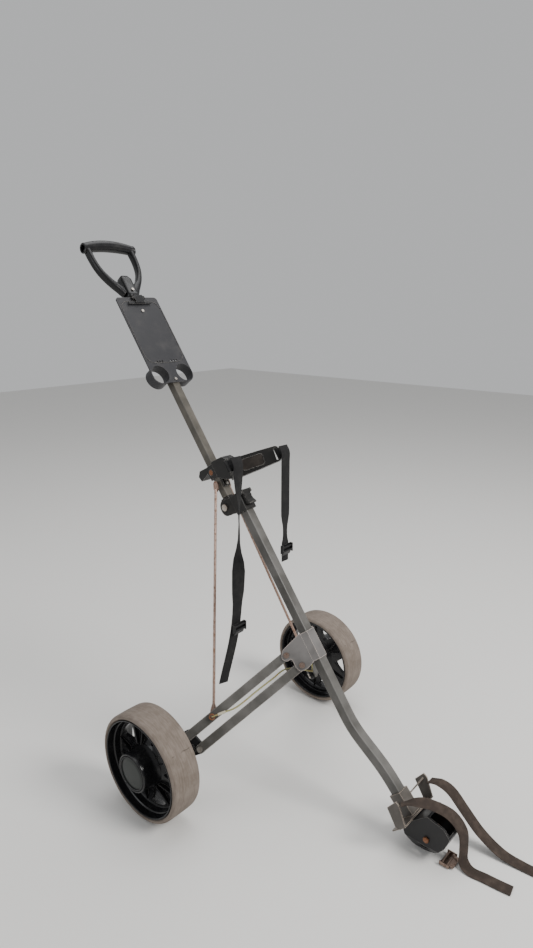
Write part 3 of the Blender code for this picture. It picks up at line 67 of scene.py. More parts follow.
# %% The mast's frame
HINGE_BEHIND = 38 * MM          # the fold axis lies this far behind the lower tube's middle
mast_normal = Vector(mounts["scorecard_face"]["axis"]).normalized()
mast_up = mast_normal.cross(Vector((0, 1, 0))).normalized()
hinge = Vector(joints["shaft_fold"]["pos_m"])
MAST = Matrix.Translation(hinge + mast_normal * HINGE_BEHIND) @ Matrix(
    (mast_normal, Vector((0, 1, 0)), mast_up)).transposed().to_4x4()


def on_mast(x, y, z):
    """A point given in millimetres in the mast's frame."""
    return MAST @ (Vector((x, y, z)) * MM)


print("mast leans", round(mast_up.angle(Vector((0, 0, 1))) * 180 / pi, 1), "degrees")

# %% [markdown]
# The camera stands in front of the cart on its right, a little above the handle, and looks
# down. The floor is pale and seamless. Three large soft lights keep the metal's planes apart:
# a key from the front right, a fill from the left and a wide one overhead.

# %% Camera, floor and lights
CAMERA_PLACE = Vector((0.780, -0.934, 0.942))
CAMERA_HEADING = radians(48.66)     # turned left from straight across the cart
CAMERA_DIP = radians(14.49)
LENS, FILM_WIDTH = 45.5, 36         # both in millimetres

look = Vector((-cos(CAMERA_HEADING) * cos(CAMERA_DIP), sin(CAMERA_HEADING) * cos(CAMERA_DIP),
               -sin(CAMERA_DIP)))
camera = bpy.data.objects.new("camera", bpy.data.cameras.new("camera"))
camera.data.sensor_fit = "HORIZONTAL"
camera.data.sensor_width = FILM_WIDTH
camera.data.lens = LENS
aimed = look.to_track_quat("-Z", "Y").to_matrix().to_4x4()
camera.matrix_world = Matrix.Translation(CAMERA_PLACE) @ aimed
bpy.context.scene.collection.objects.link(camera)
bpy.context.scene.camera = camera


def soft_light(name, place, aim, size, power, colour=(1, 1, 1)):
    lamp = bpy.data.lights.new(name, "AREA")
    lamp.shape = "DISK"
    lamp.size = size
    lamp.energy = power
    lamp.color = colour
    made = bpy.data.objects.new(name, lamp)
    turn = (Vector(aim) - Vector(place)).to_track_quat("-Z", "Y").to_matrix().to_4x4()
    made.matrix_world = Matrix.Translation(place) @ turn
    bpy.context.scene.collection.objects.link(made)


CENTRE = (0, 0, 0.45)
soft_light("key", (2.3, 0.5, 2.2), CENTRE, 1.2, 82, (1, 0.985, 0.96))
soft_light("fill", (-1.0, -2.7, 1.2), CENTRE, 1.8, 16, (0.95, 0.975, 1))
soft_light("top", (-0.4, 0.6, 3.0), CENTRE, 2.4, 40)

FLOOR_HALF, FLOOR_DROP = 6, 0.0005  # metres; the drop keeps the tyres clear of the floor
FLOOR_COLOUR, SKY_COLOUR, SKY_STRENGTH = (0.72, 0.71, 0.69, 1), (0.86, 0.87, 0.88, 1), 0.62
bm = bmesh.new()
bmesh.ops.create_grid(bm, x_segments=1, y_segments=1, size=FLOOR_HALF)
floor_mesh = bpy.data.meshes.new("floor")
bm.to_mesh(floor_mesh)
bm.free()
floor = bpy.data.objects.new("floor", floor_mesh)
floor.location.z = -FLOOR_DROP
bpy.context.scene.collection.objects.link(floor)
pale = bpy.data.materials.new("pale_floor")
pale.use_nodes = True
pale_shader = pale.node_tree.nodes["Principled BSDF"]
pale_shader.inputs["Base Color"].default_value = FLOOR_COLOUR
pale_shader.inputs["Roughness"].default_value = 0.9
floor_mesh.materials.append(pale)

world = bpy.data.worlds.new("studio")
bpy.context.scene.world = world
world.use_nodes = True
sky = world.node_tree.nodes["Background"]
sky.inputs["Color"].default_value = SKY_COLOUR
sky.inputs["Strength"].default_value = SKY_STRENGTH
print("camera at", tuple(round(value, 3) for value in camera.location))

# %% [markdown]
# Finishes are node trees, and node trees are tedious to wire by hand. A small class wraps an
# output socket and overloads the arithmetic operators, so a mask can be written as a sum, and
# one method makes any other node from its type, its settings and the values of its sockets.

# %% A class for shader arithmetic
class Wire:
    """One output socket, usable in Python sums."""

    def __init__(self, finish, socket):
        self.finish, self.socket = finish, socket

    def sum(self, operation, first, second=0.0):
        return self.finish.node("ShaderNodeMath", {"operation": operation}, first, second)

    def __add__(self, other):
        return self.sum("ADD", self, other)

    def __sub__(self, other):
        return self.sum("SUBTRACT", self, other)

    def __rsub__(self, other):
        return self.sum("SUBTRACT", other, self)

    def __mul__(self, other):
        return self.sum("MULTIPLY", self, other)

    def of(self, operation, second=0.0):
        """This value through a named Math node."""
        return self.sum(operation, self, second)

    __radd__, __rmul__ = __add__, __mul__


class Finish:
    """A material under construction."""

    def __init__(self, name, slot, **fixed):
        self.material = bpy.data.materials.new(name)
        self.material.use_nodes = True
        self.slot = slot
        self.tree = self.material.node_tree
        self.shader = self.tree.nodes["Principled BSDF"]
        for label, value in fixed.items():
            full = "Specular IOR Level" if label == "specular" else label.title()
            self.shader.inputs[full].default_value = value
        self.place = self.node("ShaderNodeTexCoord", output="Object")

    def node(self, kind, settings=None, *values, output=0, **named):
        made = self.tree.nodes.new(kind)
        for label, value in (settings or {}).items():
            setattr(made, label, value)
        for label, value in [*enumerate(values), *named.items()]:
            socket = made.inputs[label if isinstance(label, int) else label.replace("_", " ")]
            if isinstance(value, Wire):
                self.tree.links.new(value.socket, socket)
            else:
                socket.default_value = value
        return Wire(self, made.outputs[output])

    def shift(self, centre=(0, 0, 0), scale=(1, 1, 1)):
        """Object coordinates about a centre, stretched."""
        kind = "ShaderNodeVectorMath"
        moved = self.node(kind, {"operation": "SUBTRACT"}, self.place, Vector(centre))
        return self.node(kind, {"operation": "MULTIPLY"}, moved, Vector(scale))

    def noise(self, size, detail=4.0, rough=0.55, vector=None, stretch=(1, 1, 1)):
        """Cloudy noise whose blotches are about this size in metres."""
        where = vector or (self.place if stretch == (1, 1, 1) else self.shift(scale=stretch))
        return self.node("ShaderNodeTexNoise", {}, Vector=where, Scale=1 / size, Detail=detail,
                         Roughness=rough)

    def step(self, value, low, high):
        """0 below low, 1 above high, smooth between."""
        return self.node("ShaderNodeMapRange", {"interpolation_type": "SMOOTHSTEP"},
                         Value=value, From_Min=low, From_Max=high)

    def mix(self, share, first, second):
        colour = [value if isinstance(value, Wire) else (*value, 1)
                  for value in (first, second)]
        made = self.tree.nodes.new("ShaderNodeMix")
        made.data_type = "RGBA"
        for index, value in ((0, share), (6, colour[0]), (7, colour[1])):
            if isinstance(value, Wire):
                self.tree.links.new(value.socket, made.inputs[index])
            else:
                made.inputs[index].default_value = value
        return Wire(self, made.outputs[2])

    def feed(self, label, value):
        self.tree.links.new(value.socket, self.shader.inputs[label])

    def bump(self, height, depth, strength=1.0):
        """Depth in metres of the bump for a height from 0 to 1."""
        normal = self.node("ShaderNodeBump", {}, Strength=strength, Distance=depth, Height=height)
        self.feed("Normal", normal)


print("shader helpers ready")

# %% [markdown]
# The metal is satin powder coat over steel. Years outdoors have mottled it, scratched it along
# the tubes and rubbed its edges through to a pale primer, most of all on the centre bracket.

# %% Painted metal
def rubbed_edges(finish, reach, low, high):
    """1 where the surface turns sharply within this reach, broken up by noise."""
    rounded_normal = finish.node("ShaderNodeBevel", {"samples": 4}, Radius=reach)
    flat_normal = finish.node("ShaderNodeNewGeometry", output="Normal")
    agree = finish.node("ShaderNodeVectorMath", {"operation": "DOT_PRODUCT"},
                        rounded_normal, flat_normal, output="Value")
    turn = 1 - agree
    return finish.step(turn + (finish.noise(0.011, 6, 0.7) - 0.5) * 0.16, low, high)


def powder_coat(name, slot, dark, light, primer, wear, along=(60, 60, 7)):
    """Satin paint, mottled, streaked along the piece and rubbed at its edges."""
    coat = Finish(name, slot, roughness=0.45, specular=0.42)
    clouds = coat.step(coat.noise(0.055, 5, 0.6), 0.34, 0.68)
    streaks = coat.noise(1.0, 5, 0.7, stretch=along)
    grain = coat.noise(0.0016, 2, 0.5)
    tone = coat.mix(clouds * 0.7 + streaks * 0.3, dark, light)
    scratches = coat.step(coat.noise(0.0035, 8, 0.75, stretch=(1, 1, 0.22)), 0.67, 0.74)
    worn = rubbed_edges(coat, 0.0022, wear, wear + 0.10)
    bare = (worn + scratches * 0.35).of("MINIMUM", 1.0)
    coat.feed("Base Color", coat.mix(bare, tone, primer))
    coat.feed("Roughness", clouds * 0.12 + grain * 0.1 + bare * 0.12 + 0.33)
    coat.bump(grain * 0.5 + clouds * 0.5 - bare * 0.4, 0.00012, 0.5)
    return coat


grey_coat = powder_coat("grey powder coat", "grey_powder_coat", (0.055, 0.052, 0.046),
                        (0.135, 0.129, 0.121), (0.36, 0.32, 0.29), 0.12)
bracket_coat = powder_coat("rubbed bracket coat", "grey_powder_coat", (0.085, 0.08, 0.076),
                           (0.165, 0.156, 0.152), (0.55, 0.47, 0.43), 0.045)
shaft_coat = powder_coat("brown shaft coat", "shaft_powder_coat", (0.05, 0.045, 0.036),
                         (0.115, 0.103, 0.085), (0.3, 0.25, 0.2), 0.13)
foot_coat = powder_coat("worn foot coat", "grey_powder_coat", (0.045, 0.038, 0.032),
                        (0.15, 0.135, 0.12), (0.4, 0.33, 0.27), 0.08)

# %% [markdown]
# Steel parts are plated and dull, with rust starting in specks. The struts and one or two
# fasteners have gone over to a fine light brown rust all through.

# %% Bare and rusted steel
def plated(name, bright, rust, share, slot="worn_steel"):
    steel = Finish(name, slot, metallic=1.0, roughness=0.36)
    blotch = steel.noise(0.006, 6, 0.7)
    rusted = steel.step(blotch, 1 - share, 1.12 - share)
    fine = steel.noise(0.0009, 3, 0.6)
    deep_rust = tuple(value * 0.45 for value in rust)
    steel.feed("Base Color", steel.mix(rusted, bright, steel.mix(fine, rust, deep_rust)))
    steel.feed("Metallic", 1 - rusted * 0.8)
    steel.feed("Roughness", rusted * 0.35 + fine * 0.12 + 0.28)
    steel.bump(rusted * fine, 0.0002, 0.7)
    return steel


bright_steel = plated("dull plated steel", (0.56, 0.52, 0.47), (0.24, 0.11, 0.05), 0.42)
brown_rivet = plated("brown rivet", (0.27, 0.2, 0.165), (0.13, 0.07, 0.045), 0.5)
rust_bolt = plated("rusted fastener", (0.3, 0.19, 0.13), (0.26, 0.1, 0.04), 0.66, "rusty_rod")
strut = plated("pinkish rusted rod", (0.42, 0.3, 0.25), (0.3, 0.17, 0.11), 0.52, "rusty_rod")
print("steel finishes: 4")

# %% [markdown]
# The mouldings are all black, yet no two look alike: the rims are glossy, the bracket and the
# hinge are chalky where they rub, the handle is satin, and the plate has a fine leather grain.

# %% Plastics
def moulding(name, slot, deep, dusty, shine, grain, wear=0.2, rub=(0.3, 0.28, 0.26)):
    plastic = Finish(name, slot, roughness=shine, specular=0.3)
    dust = plastic.step(plastic.noise(0.03, 6, 0.68), 0.45, 0.8)
    pores = plastic.noise(grain, 3, 0.6)
    chalk = rubbed_edges(plastic, 0.0013, wear, wear + 0.16)
    plastic.feed("Base Color", plastic.mix(chalk * 0.8, plastic.mix(dust, deep, dusty), rub))
    plastic.feed("Roughness", dust * 0.18 + pores * 0.1 + chalk * 0.15 + (shine - 0.08))
    plastic.bump(pores, grain * 0.12, 0.45)
    return plastic


satin_black = moulding("satin black", "black_plastic", (0.009, 0.009, 0.01),
                       (0.02, 0.019, 0.019), 0.4, 0.0011)
chalky_black = moulding("chalky black", "black_plastic", (0.01, 0.0095, 0.009),
                        (0.032, 0.029, 0.026), 0.46, 0.0014, 0.1, (0.5, 0.47, 0.44))
rim_gloss = moulding("gloss rim", "rim_plastic", (0.008, 0.008, 0.009),
                     (0.02, 0.02, 0.02), 0.2, 0.002, 0.16, (0.22, 0.2, 0.19))
cap_disc = moulding("dark green disc", "black_plastic", (0.007, 0.011, 0.009),
                    (0.016, 0.021, 0.018), 0.36, 0.0008)
plate_grain = moulding("grained plate", "scorecard_plate", (0.026, 0.026, 0.029),
                       (0.045, 0.043, 0.044), 0.46, 0.0009, 0.3, (0.16, 0.15, 0.15))
grip_skin = moulding("grip skin", "black_plastic", (0.007, 0.007, 0.008),
                     (0.014, 0.0135, 0.013), 0.32, 0.0018)
arm_panel = moulding("brown arm panel", "black_plastic", (0.018, 0.014, 0.0115),
                     (0.046, 0.037, 0.03), 0.52, 0.0013, 0.3)
print("plastic finishes: 7")

# %% [markdown]
# The foam tyre is closed-cell and taupe. It scuffs in streaks that run round the wheel, so its
# pattern is drawn in the wheel's own terms: the distance from the axle and the place across.

# %% Foam and sleeve
def foam(name, hub, seam_angle):
    tread = Finish(name, "foam_tyre", roughness=0.85, specular=0.3)
    local = tread.shift(centre=hub)
    x, y, z = (tread.node("ShaderNodeSeparateXYZ", None, local, output=index)
               for index in range(3))
    angle = z.of("ARCTAN2", x)
    radius = (x * x + z * z).of("SQRT")
    rounds = tread.node("ShaderNodeCombineXYZ", None, angle * 0.55, y * 52, radius * 52)
    streaks = tread.noise(0.14, 9, 0.72, vector=rounds)
    scuffs = tread.noise(0.019, 6, 0.66, vector=local)
    cells = tread.noise(0.0011, 2, 0.5, vector=local)
    pale = tread.step(scuffs * 0.35 + streaks * 0.65, 0.36, 0.68)
    tone = tread.mix(pale, (0.135, 0.108, 0.088), (0.235, 0.197, 0.168))
    dirt = tread.step(streaks, 0.56, 0.74)
    tone = tread.mix(dirt * 0.4, tone, (0.075, 0.056, 0.045))
    wander = (tread.noise(0.012, 3, 0.6, vector=local) - 0.5) * 0.05
    crack = 1 - tread.step((angle - seam_angle + wander).of("ABSOLUTE"), 0.003, 0.012)
    crack = crack * tread.step(tread.noise(0.02, 2, 0.5, vector=local), 0.44, 0.56)
    tread.feed("Base Color", tread.mix(crack * 0.6, tone, (0.04, 0.03, 0.024)))
    tread.feed("Roughness", pale * 0.12 + 0.76)
    tread.bump(streaks * 0.5 + cells * 0.25 + scuffs * 0.25 - crack * 0.8, 0.0009, 0.6)
    return tread


def sleeve(name):
    """Yellow-khaki sleeve with rust bleeding in at its ends."""
    tube = Finish(name, "cable_sleeve", roughness=0.5)
    blotch = tube.noise(0.012, 5, 0.7)
    amber = tube.step(blotch, 0.52, 0.66)
    tone = tube.mix(amber, (0.3, 0.28, 0.12), (0.38, 0.19, 0.05))
    tube.feed("Base Color", tone)
    tube.bump(tube.noise(0.0012, 2, 0.5), 0.0002, 0.5)
    return tube


khaki_sleeve = sleeve("khaki sleeve")

# %% [markdown]
# Webbing is woven, so it is coloured from its own map: one axis runs across the strap and the
# other along it, both in metres. Fine ribs cross it, and two heavier lines follow its edges.

# %% Webbing
def woven(name, slot, dark, light, rib=0.0011):
    cloth = Finish(name, slot, roughness=0.88, specular=0.25)
    where = cloth.node("ShaderNodeUVMap", {"uv_map": "weave"})
    across, along = (cloth.node("ShaderNodeSeparateXYZ", None, where, output=index)
                     for index in (0, 1))
    zigzag = (across * (tau / (rib * 4))).of("SINE") * 0.7
    ribs = (along * (tau / rib) + zigzag).of("SINE") * 0.5 + 0.5
    threads = (across * (tau / (rib * 0.9))).of("SINE") * 0.5 + 0.5
    height = ribs * 0.65 + threads * 0.35
    dust = cloth.step(cloth.noise(0.02, 6, 0.7), 0.42, 0.72)
    tone = cloth.mix(dust * 0.6 + height * 0.3, dark, light)
    cloth.feed("Base Color", tone)
    cloth.feed("Roughness", dust * 0.08 + 0.8)
    cloth.bump(height, 0.0004, 0.8)
    return cloth


black_web = woven("black webbing", "webbing", (0.007, 0.007, 0.008), (0.03, 0.029, 0.028))
brown_web = woven("brown webbing", "foot_webbing", (0.028, 0.02, 0.016),
                  (0.088, 0.065, 0.052))
print("materials:", len(bpy.data.materials))

# %% [markdown]
# Next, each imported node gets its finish. The pieces that are remade further down are left out.

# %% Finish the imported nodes
def dress(finish, *names):
    for name in names:
        mesh = frame["nodes"][name].data
        mesh.materials.clear()
        mesh.materials.append(finish.material)


def both(*names):
    return [f"{name}_{side}" for name in names for side in SIDES]


dress(grey_coat, "lower_tube", *both("leg_upper", "leg_lower"))
dress(bracket_coat, "leg_bracket", "bracket_back")
dress(shaft_coat, "upper_tube")
dress(foot_coat, "foot_bracket")
dress(bright_steel, "hinge_bolt", "latch_pin", "stay_cross_pin", "tongue_screw_low",
      "tongue_screw_high", "card_screw_low", "card_screw_high", "clip_pin", "handle_screw",
      *both("axle", "link_bolt_upper", "link_bolt_lower"))
dress(brown_rivet, "foot_buckle", *both("leg_rivet_upper", "leg_rivet_lower", "stay_pin"))
dress(rust_bolt, "clamp_screw", "foot_bolt")
dress(strut, *both("stay"))
dress(chalky_black, "hinge_base", "bag_bracket", "fold_tongue", "latch_lever")
dress(satin_black, "clip_mount", "card_clip", "foot_base",
      *both("link_carrier", "hub_cap", "bag_buckle"))
dress(rim_gloss, *both("rim"))
dress(plate_grain, "card_plate")
dress(grip_skin, "handle")
dress(khaki_sleeve, "leg_cable")
dress(black_web, *both("bag_strap"))
dress(brown_web, *both("foot_strap"))
print("dressed nodes:", len(frame["nodes"]))

# %% [markdown]
# Round pieces are profiles spun about an axis. A profile is a list of pairs in millimetres: how
# far from the axle, and how far along it from the middle of the tread. Positive is outward.

# %% Tools for remade pieces
BEVEL_FROM = radians(32)        # edges that turn more than this are softened


def make(name, bm, finish, body, *nodes, sharp=35, bevel=0.0):
    """Turns a bmesh into a finished piece on a body, in place of these nodes."""
    bmesh.ops.remove_doubles(bm, verts=bm.verts, dist=1e-6)
    bmesh.ops.recalc_face_normals(bm, faces=bm.faces)
    mesh = bpy.data.meshes.new(name)
    bm.to_mesh(mesh)
    bm.free()
    mesh.shade_smooth()
    mesh.set_sharp_from_angle(angle=radians(sharp))
    mesh.materials.append(finish.material)
    piece = bpy.data.objects.new(name, mesh)
    bpy.context.scene.collection.objects.link(piece)
    if bevel:
        soften = piece.modifiers.new("soft edges", "BEVEL")
        soften.width = bevel
        soften.segments = 2
        soften.limit_method = "ANGLE"
        soften.angle_limit = BEVEL_FROM
        soften.harden_normals = True
    if body:
        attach(piece, body)
    if nodes:
        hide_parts(*nodes)
    return piece


def hub_of(side):
    return Vector(joints[f"wheel_spin_{side}"]["pos_m"])


def spun(bm, profile, hub, out, steps):
    """Spins a closed profile of (radius, height) millimetres about the axle; out is outward."""
    verts = [bm.verts.new(hub + Vector((0, out * h, r)) * MM) for r, h in profile]
    edges = [bm.edges.new(pair) for pair in zip(verts, verts[1:] + verts[:1])]
    bmesh.ops.spin(bm, geom=verts + edges, cent=hub, axis=(0, 1, 0), angle=tau, steps=steps,
                   use_merge=True)


def arc(radius_at, height_at, reach, start, end, steps=6):
    """Points round a corner, angles in degrees from straight out."""
    turns = [radians(start + (end - start) * n / steps) for n in range(steps + 1)]
    return [(radius_at + reach * cos(turn), height_at + reach * sin(turn)) for turn in turns]


print("tools ready for sides:", *SIDES)


# %% [markdown]
# The tyre is a thick foam band with a nearly flat tread and full, rounded shoulders. Foam wears
# unevenly, so its tread is pushed in and out by a fraction of a millimetre.

# %% Tyres
TREAD, HALF_WIDTH, SHOULDER, BORE = 105, 31.5, 7.5, 95.4
CROWN = 0.5                     # the tread's edges lie this much below its middle
SEAM_ANGLE = 0.62               # radians; where the ends of the foam band meet
TYRE_STEPS = 144


def tyre(side):
    out, hub = SIDES[side], hub_of(side)
    corner_r, corner_h = TREAD - SHOULDER, HALF_WIDTH - SHOULDER
    tread = [(TREAD - CROWN * (h / corner_h) ** 2, h) for h in (16, 8, 0, -8, -16)]
    profile = [(BORE, HALF_WIDTH - 3), (BORE + 1.2, HALF_WIDTH - 1)]
    profile += [(r - CROWN, h) for r, h in arc(corner_r, corner_h, SHOULDER, 86, 4)]
    profile += tread
    profile += [(r - CROWN, h) for r, h in arc(corner_r, -corner_h, SHOULDER, -4, -86)]
    profile += [(BORE + 1.2, 1 - HALF_WIDTH), (BORE, 3 - HALF_WIDTH)]
    bm = bmesh.new()
    spun(bm, profile, hub, out, TYRE_STEPS)
    for vert in bm.verts:
        offset = vert.co - hub
        level = Vector((offset.x, 0, offset.z))
        if level.length > (BORE + 1) * MM:
            dent = noise.noise(offset * 42) * 0.35 + noise.noise(offset * 160) * 0.15
            vert.co -= level.normalized() * (abs(dent) * MM)
    finish = foam(f"taupe foam {side}", hub, SEAM_ANGLE)
    return make(f"tread_{side}", bm, finish, f"wheel_{side}", f"tyre_{side}")


for side in SIDES:
    print("tyre faces:", len(tyre(side).data.polygons))

# %% [markdown]
# The rim is a stepped barrel, a hub with a shoulder, and a web with five windows between them.
# The web is made a fifth at a time: a loop round the fifth and a loop round its window are
# joined point to point. Each spoke then gets two raised ribs that part towards the rim.

# %% Rims
WEB_IN, WEB_OUT = 40.0, 85.0
WEB_BACK, WEB_FRONT = -4.0, 2.5
FLARE_FROM, FLARE_UP, FLARE_CURVE = 60.0, 10.0, 1.6
WINDOWS = 5
WINDOW_OUT, WINDOW_TALL = 2, 0.74           # its middle's shift outward, and its share of the web
WINDOW_NARROW, WINDOW_SPREAD = 0.1, 0.42    # its width at the hub, and what it gains by the rim
LIP_FRONT, LIP_BACK = 0.8, 0.6
FRONT_RIB, BACK_RIB = (9, 2.4), (-7, 2.6)   # how deep and how thick


def web_face(radius):
    """Height of the web's outer face: flat near the rim, rising to the hub."""
    rise = max(0.0, (FLARE_FROM - radius) / (FLARE_FROM - WEB_IN))
    return WEB_FRONT + FLARE_UP * rise ** FLARE_CURVE


def polar(hub, out, radius, angle, height):
    return hub + Vector((radius * cos(angle), out * height, radius * sin(angle))) * MM


def window_fifth(bm, hub, out, middle, steps=10):
    """One fifth of the web, as a closed ring of faces round its window."""
    half_turn = pi / WINDOWS
    mid_r, half_r = (WEB_IN + WEB_OUT) / 2, (WEB_OUT - WEB_IN) / 2
    corners = [(1, -1), (1, 1), (-1, 1), (-1, -1)]
    square = [(a + (c - a) * n / steps, b + (d - b) * n / steps)
              for (a, b), (c, d) in zip(corners, corners[1:] + corners[:1]) for n in range(steps)]
    loops = []
    for front in (True, False):
        outer, inner = [], []
        for a, b in square:
            radius = mid_r + half_r * b
            height = web_face(radius) if front else WEB_BACK
            outer.append(bm.verts.new(polar(hub, out, radius, middle + half_turn * a, height)))
            size = (abs(a) ** 4 + abs(b) ** 4) ** -0.25
            a, b = a * size, b * size
            radius = mid_r + WINDOW_OUT + half_r * WINDOW_TALL * b
            width = WINDOW_NARROW + WINDOW_SPREAD * (b + 1) / 2
            height = web_face(radius) + LIP_FRONT if front else WEB_BACK - LIP_BACK
            inner.append(bm.verts.new(polar(hub, out, radius, middle + half_turn * width * a,
                                            height)))
        loops += [outer, inner]
    front_out, front_in, back_out, back_in = loops
    for first, second in ((front_out, front_in), (back_out, back_in), (front_in, back_in)):
        for n in range(len(square)):
            m = (n + 1) % len(square)
            bm.faces.new((first[n], first[m], second[m], second[n]))


def beam(bm, hub, out, start, end, deep, thick):
    """A rib between two places, each a (radius, angle, height), this deep below them."""
    tops = [polar(hub, out, *place) for place in (start, end)]
    across = (tops[1] - tops[0]).normalized().cross(Vector((0, 1, 0))) * thick * MM / 2
    down = Vector((0, -out * deep, 0)) * MM
    ring = [(tops[0], -1), (tops[0], 1), (tops[1], 1), (tops[1], -1)]
    upper = [bm.verts.new(top + across * way * 0.7) for top, way in ring]
    lower = [bm.verts.new(top + across * way + down) for top, way in ring]
    bm.faces.new(upper)
    bm.faces.new(lower)
    for n in range(4):
        m = (n + 1) % 4
        bm.faces.new((lower[n], lower[m], upper[m], upper[n]))


BARREL = [(95, 29.8), (94.2, 31), (92.6, 31.2), (91.6, 30.2), (91.2, 27), (90.4, 19.6),
          (90, 17.6), (88.8, 16.8), (87.8, 16), (87, 5.2), (86.4, 4.2), (85.2, 3.8),
          (84.6, 2.5), (82, 2.5), (82, -4), (85, -5.4), (87.6, -9), (88.4, -14), (89.6, -15),
          (90.4, -20), (91, -28), (91.8, -29.4), (93.4, -30), (95, -29.2)]
HUB_RING = [(8, 36), (32.8, 36), (33.1, 43.2), (34, 44.4), (35.6, 44.6), (36.6, 44),
            (37.1, 42.4), (37.3, 29), (38.4, 21), (40.4, 15.4), (43.4, 10.8), (43.4, -3.6),
            (34, -5.4), (19, -13), (16.4, -17), (15.4, -29.4), (14, -30.4), (8, -30.4)]
BARREL_STEPS, HUB_STEPS, CAP_STEPS = 120, 72, 64


def rim(side):
    out, hub = SIDES[side], hub_of(side)
    bm = bmesh.new()
    spun(bm, BARREL, hub, out, BARREL_STEPS)
    spun(bm, HUB_RING, hub, out, HUB_STEPS)
    for n in range(WINDOWS):
        middle = tau * n / WINDOWS
        window_fifth(bm, hub, out, middle)
        spoke = middle + pi / WINDOWS
        for way in (1, -1):
            beam(bm, hub, out, (42, spoke + way * 0.13, 15), (86, spoke + way * 0.2, 5),
                 *FRONT_RIB)
            beam(bm, hub, out, (40, spoke + way * 0.05, WEB_BACK - 5),
                 (84, spoke + way * 0.2, WEB_BACK - 4), *BACK_RIB)
    return make(f"spoked_rim_{side}", bm, rim_gloss, f"wheel_{side}", f"rim_{side}",
                sharp=30, bevel=0.5 * MM)


for side in SIDES:
    print("rim faces:", len(rim(side).data.polygons))

# %% [markdown]
# The hub's cap is a shallow dish with a raised ring round a dark green-black disc. Its lettering
# is left out.

# %% Hub caps
CAP = [(32.7, 37), (32.7, 43.8), (32.2, 44.7), (31.2, 45), (30.4, 44.8), (29.9, 44),
       (29.6, 37)]
DISC = [(29.7, 43.2), (29, 43.7), (22, 44), (10, 44.3), (0.001, 44.4), (0.001, 38),
        (29.7, 38)]


def hub_cap(side):
    out, hub = SIDES[side], hub_of(side)
    bm = bmesh.new()
    spun(bm, CAP, hub, out, CAP_STEPS)
    make(f"cap_ring_{side}", bm, satin_black, f"wheel_{side}", f"hub_cap_{side}",
         bevel=0.3 * MM)
    bm = bmesh.new()
    spun(bm, DISC, hub, out, CAP_STEPS)
    return make(f"cap_disc_{side}", bm, cap_disc, f"wheel_{side}")


for side in SIDES:
    print("cap disc faces:", len(hub_cap(side).data.polygons))

# %% [markdown]
# Straps are flat ribbons along smooth routes. Each has rounded selvedges and its own weave map.
# A strap can narrow where it is gathered and turn about its own length where it is twisted.

# %% Webbing tools
def smooth_route(points, per_span=8):
    """A Catmull-Rom curve through chosen points."""
    ends = [points[0] * 2 - points[1]] + points + [points[-1] * 2 - points[-2]]
    route = []
    for a, b, c, d in zip(ends, ends[1:], ends[2:], ends[3:]):
        for step in range(per_span):
            t = step / per_span
            route.append(0.5 * (2 * b + (c - a) * t + (2 * a - 5 * b + 4 * c - d) * t ** 2
                                + (3 * b - a - 3 * c + d) * t ** 3))
    return route + [points[-1]]


def between(keys, value):
    """A value read off a list of (place, value) keys, eased between them."""
    for (a, low), (b, high) in zip(keys, keys[1:]):
        if value <= b:
            t = max(0.0, (value - a) / (b - a))
            return low + (high - low) * t * t * (3 - 2 * t)
    return keys[-1][1]


SELVEDGE = 0.9                  # millimetres; the rounded part at a strap's edge
STRAIGHT = ((0, 1), (1, 1))
FLAT = ((0, 0), (1, 0))


def run_at(route, n):
    """The direction of a route at one of its points."""
    return (route[min(n + 1, len(route) - 1)] - route[max(n - 1, 0)]).normalized()


def ribbon(bm, route, across, width, thick=1.8, gather=STRAIGHT, twist=FLAT, loop=False):
    """Webbing along a route; gather and twist are keys along it, in metres."""
    weave = bm.loops.layers.uv["weave"]
    rows, length = [], 0.0
    for n, here in enumerate(route):
        length += (here - route[n - 1]).length if n else 0.0
        run = run_at(route, n)
        turn = Matrix.Rotation(between(twist, length), 3, run)
        side_way = turn @ (across - run * across.dot(run)).normalized()
        face_way = run.cross(side_way)
        half, deep = width * MM / 2 * between(gather, length), thick * MM / 2
        edge = SELVEDGE * MM
        outline = [(-half, -deep / 2), (edge - half, -deep), (half - edge, -deep),
                   (half, -deep / 2), (half, deep / 2), (half - edge, deep),
                   (edge - half, deep), (-half, deep / 2)]
        rows.append(([bm.verts.new(here + side_way * a + face_way * b) for a, b in outline],
                     [a for a, b in outline], length))
    for (first, places, low), (second, more, high) in zip(rows, rows[1:]):
        for n in range(8):
            m = (n + 1) % 8
            face = bm.faces.new((first[n], first[m], second[m], second[n]))
            spots = ((places[n], low), (places[m], low), (more[m], high), (more[n], high))
            for corner, spot in zip(face.loops, spots):
                corner[weave].uv = spot
    if not loop:
        bm.faces.new(rows[0][0])
        bm.faces.new(rows[-1][0])


def strap(name, finish, body, node, *ribbons):
    bm = bmesh.new()
    bm.loops.layers.uv.new("weave")
    for given in ribbons:
        ribbon(bm, **given)
    return make(name, bm, finish, body, *node, sharp=50)


def block(bm, place, low, high):
    """A box from a low to a high corner, in millimetres of its own place."""
    made = bmesh.ops.create_cube(bm, size=1)["verts"]
    for vert in made:
        share = vert.co + Vector((0.5, 0.5, 0.5))
        vert.co = place @ (Vector([a + (b - a) * s for a, b, s in zip(low, high, share)]) * MM)


def round_bar(bm, place, radius, start, end, steps=20):
    """A rod between two points given in millimetres of its own place."""
    start, end = place @ (Vector(start) * MM), place @ (Vector(end) * MM)
    turn = (end - start).to_track_quat("Z", "Y").to_matrix().to_4x4()
    bmesh.ops.create_cone(bm, cap_ends=True, segments=steps, radius1=radius * MM,
                          radius2=radius * MM, depth=(end - start).length,
                          matrix=Matrix.Translation((start + end) / 2) @ turn)


CHEEK, CHEEK_TALL = 2.4, 7      # the buckle's side walls
ROLLER, ROLLER_HIGH = 1.5, 4.6


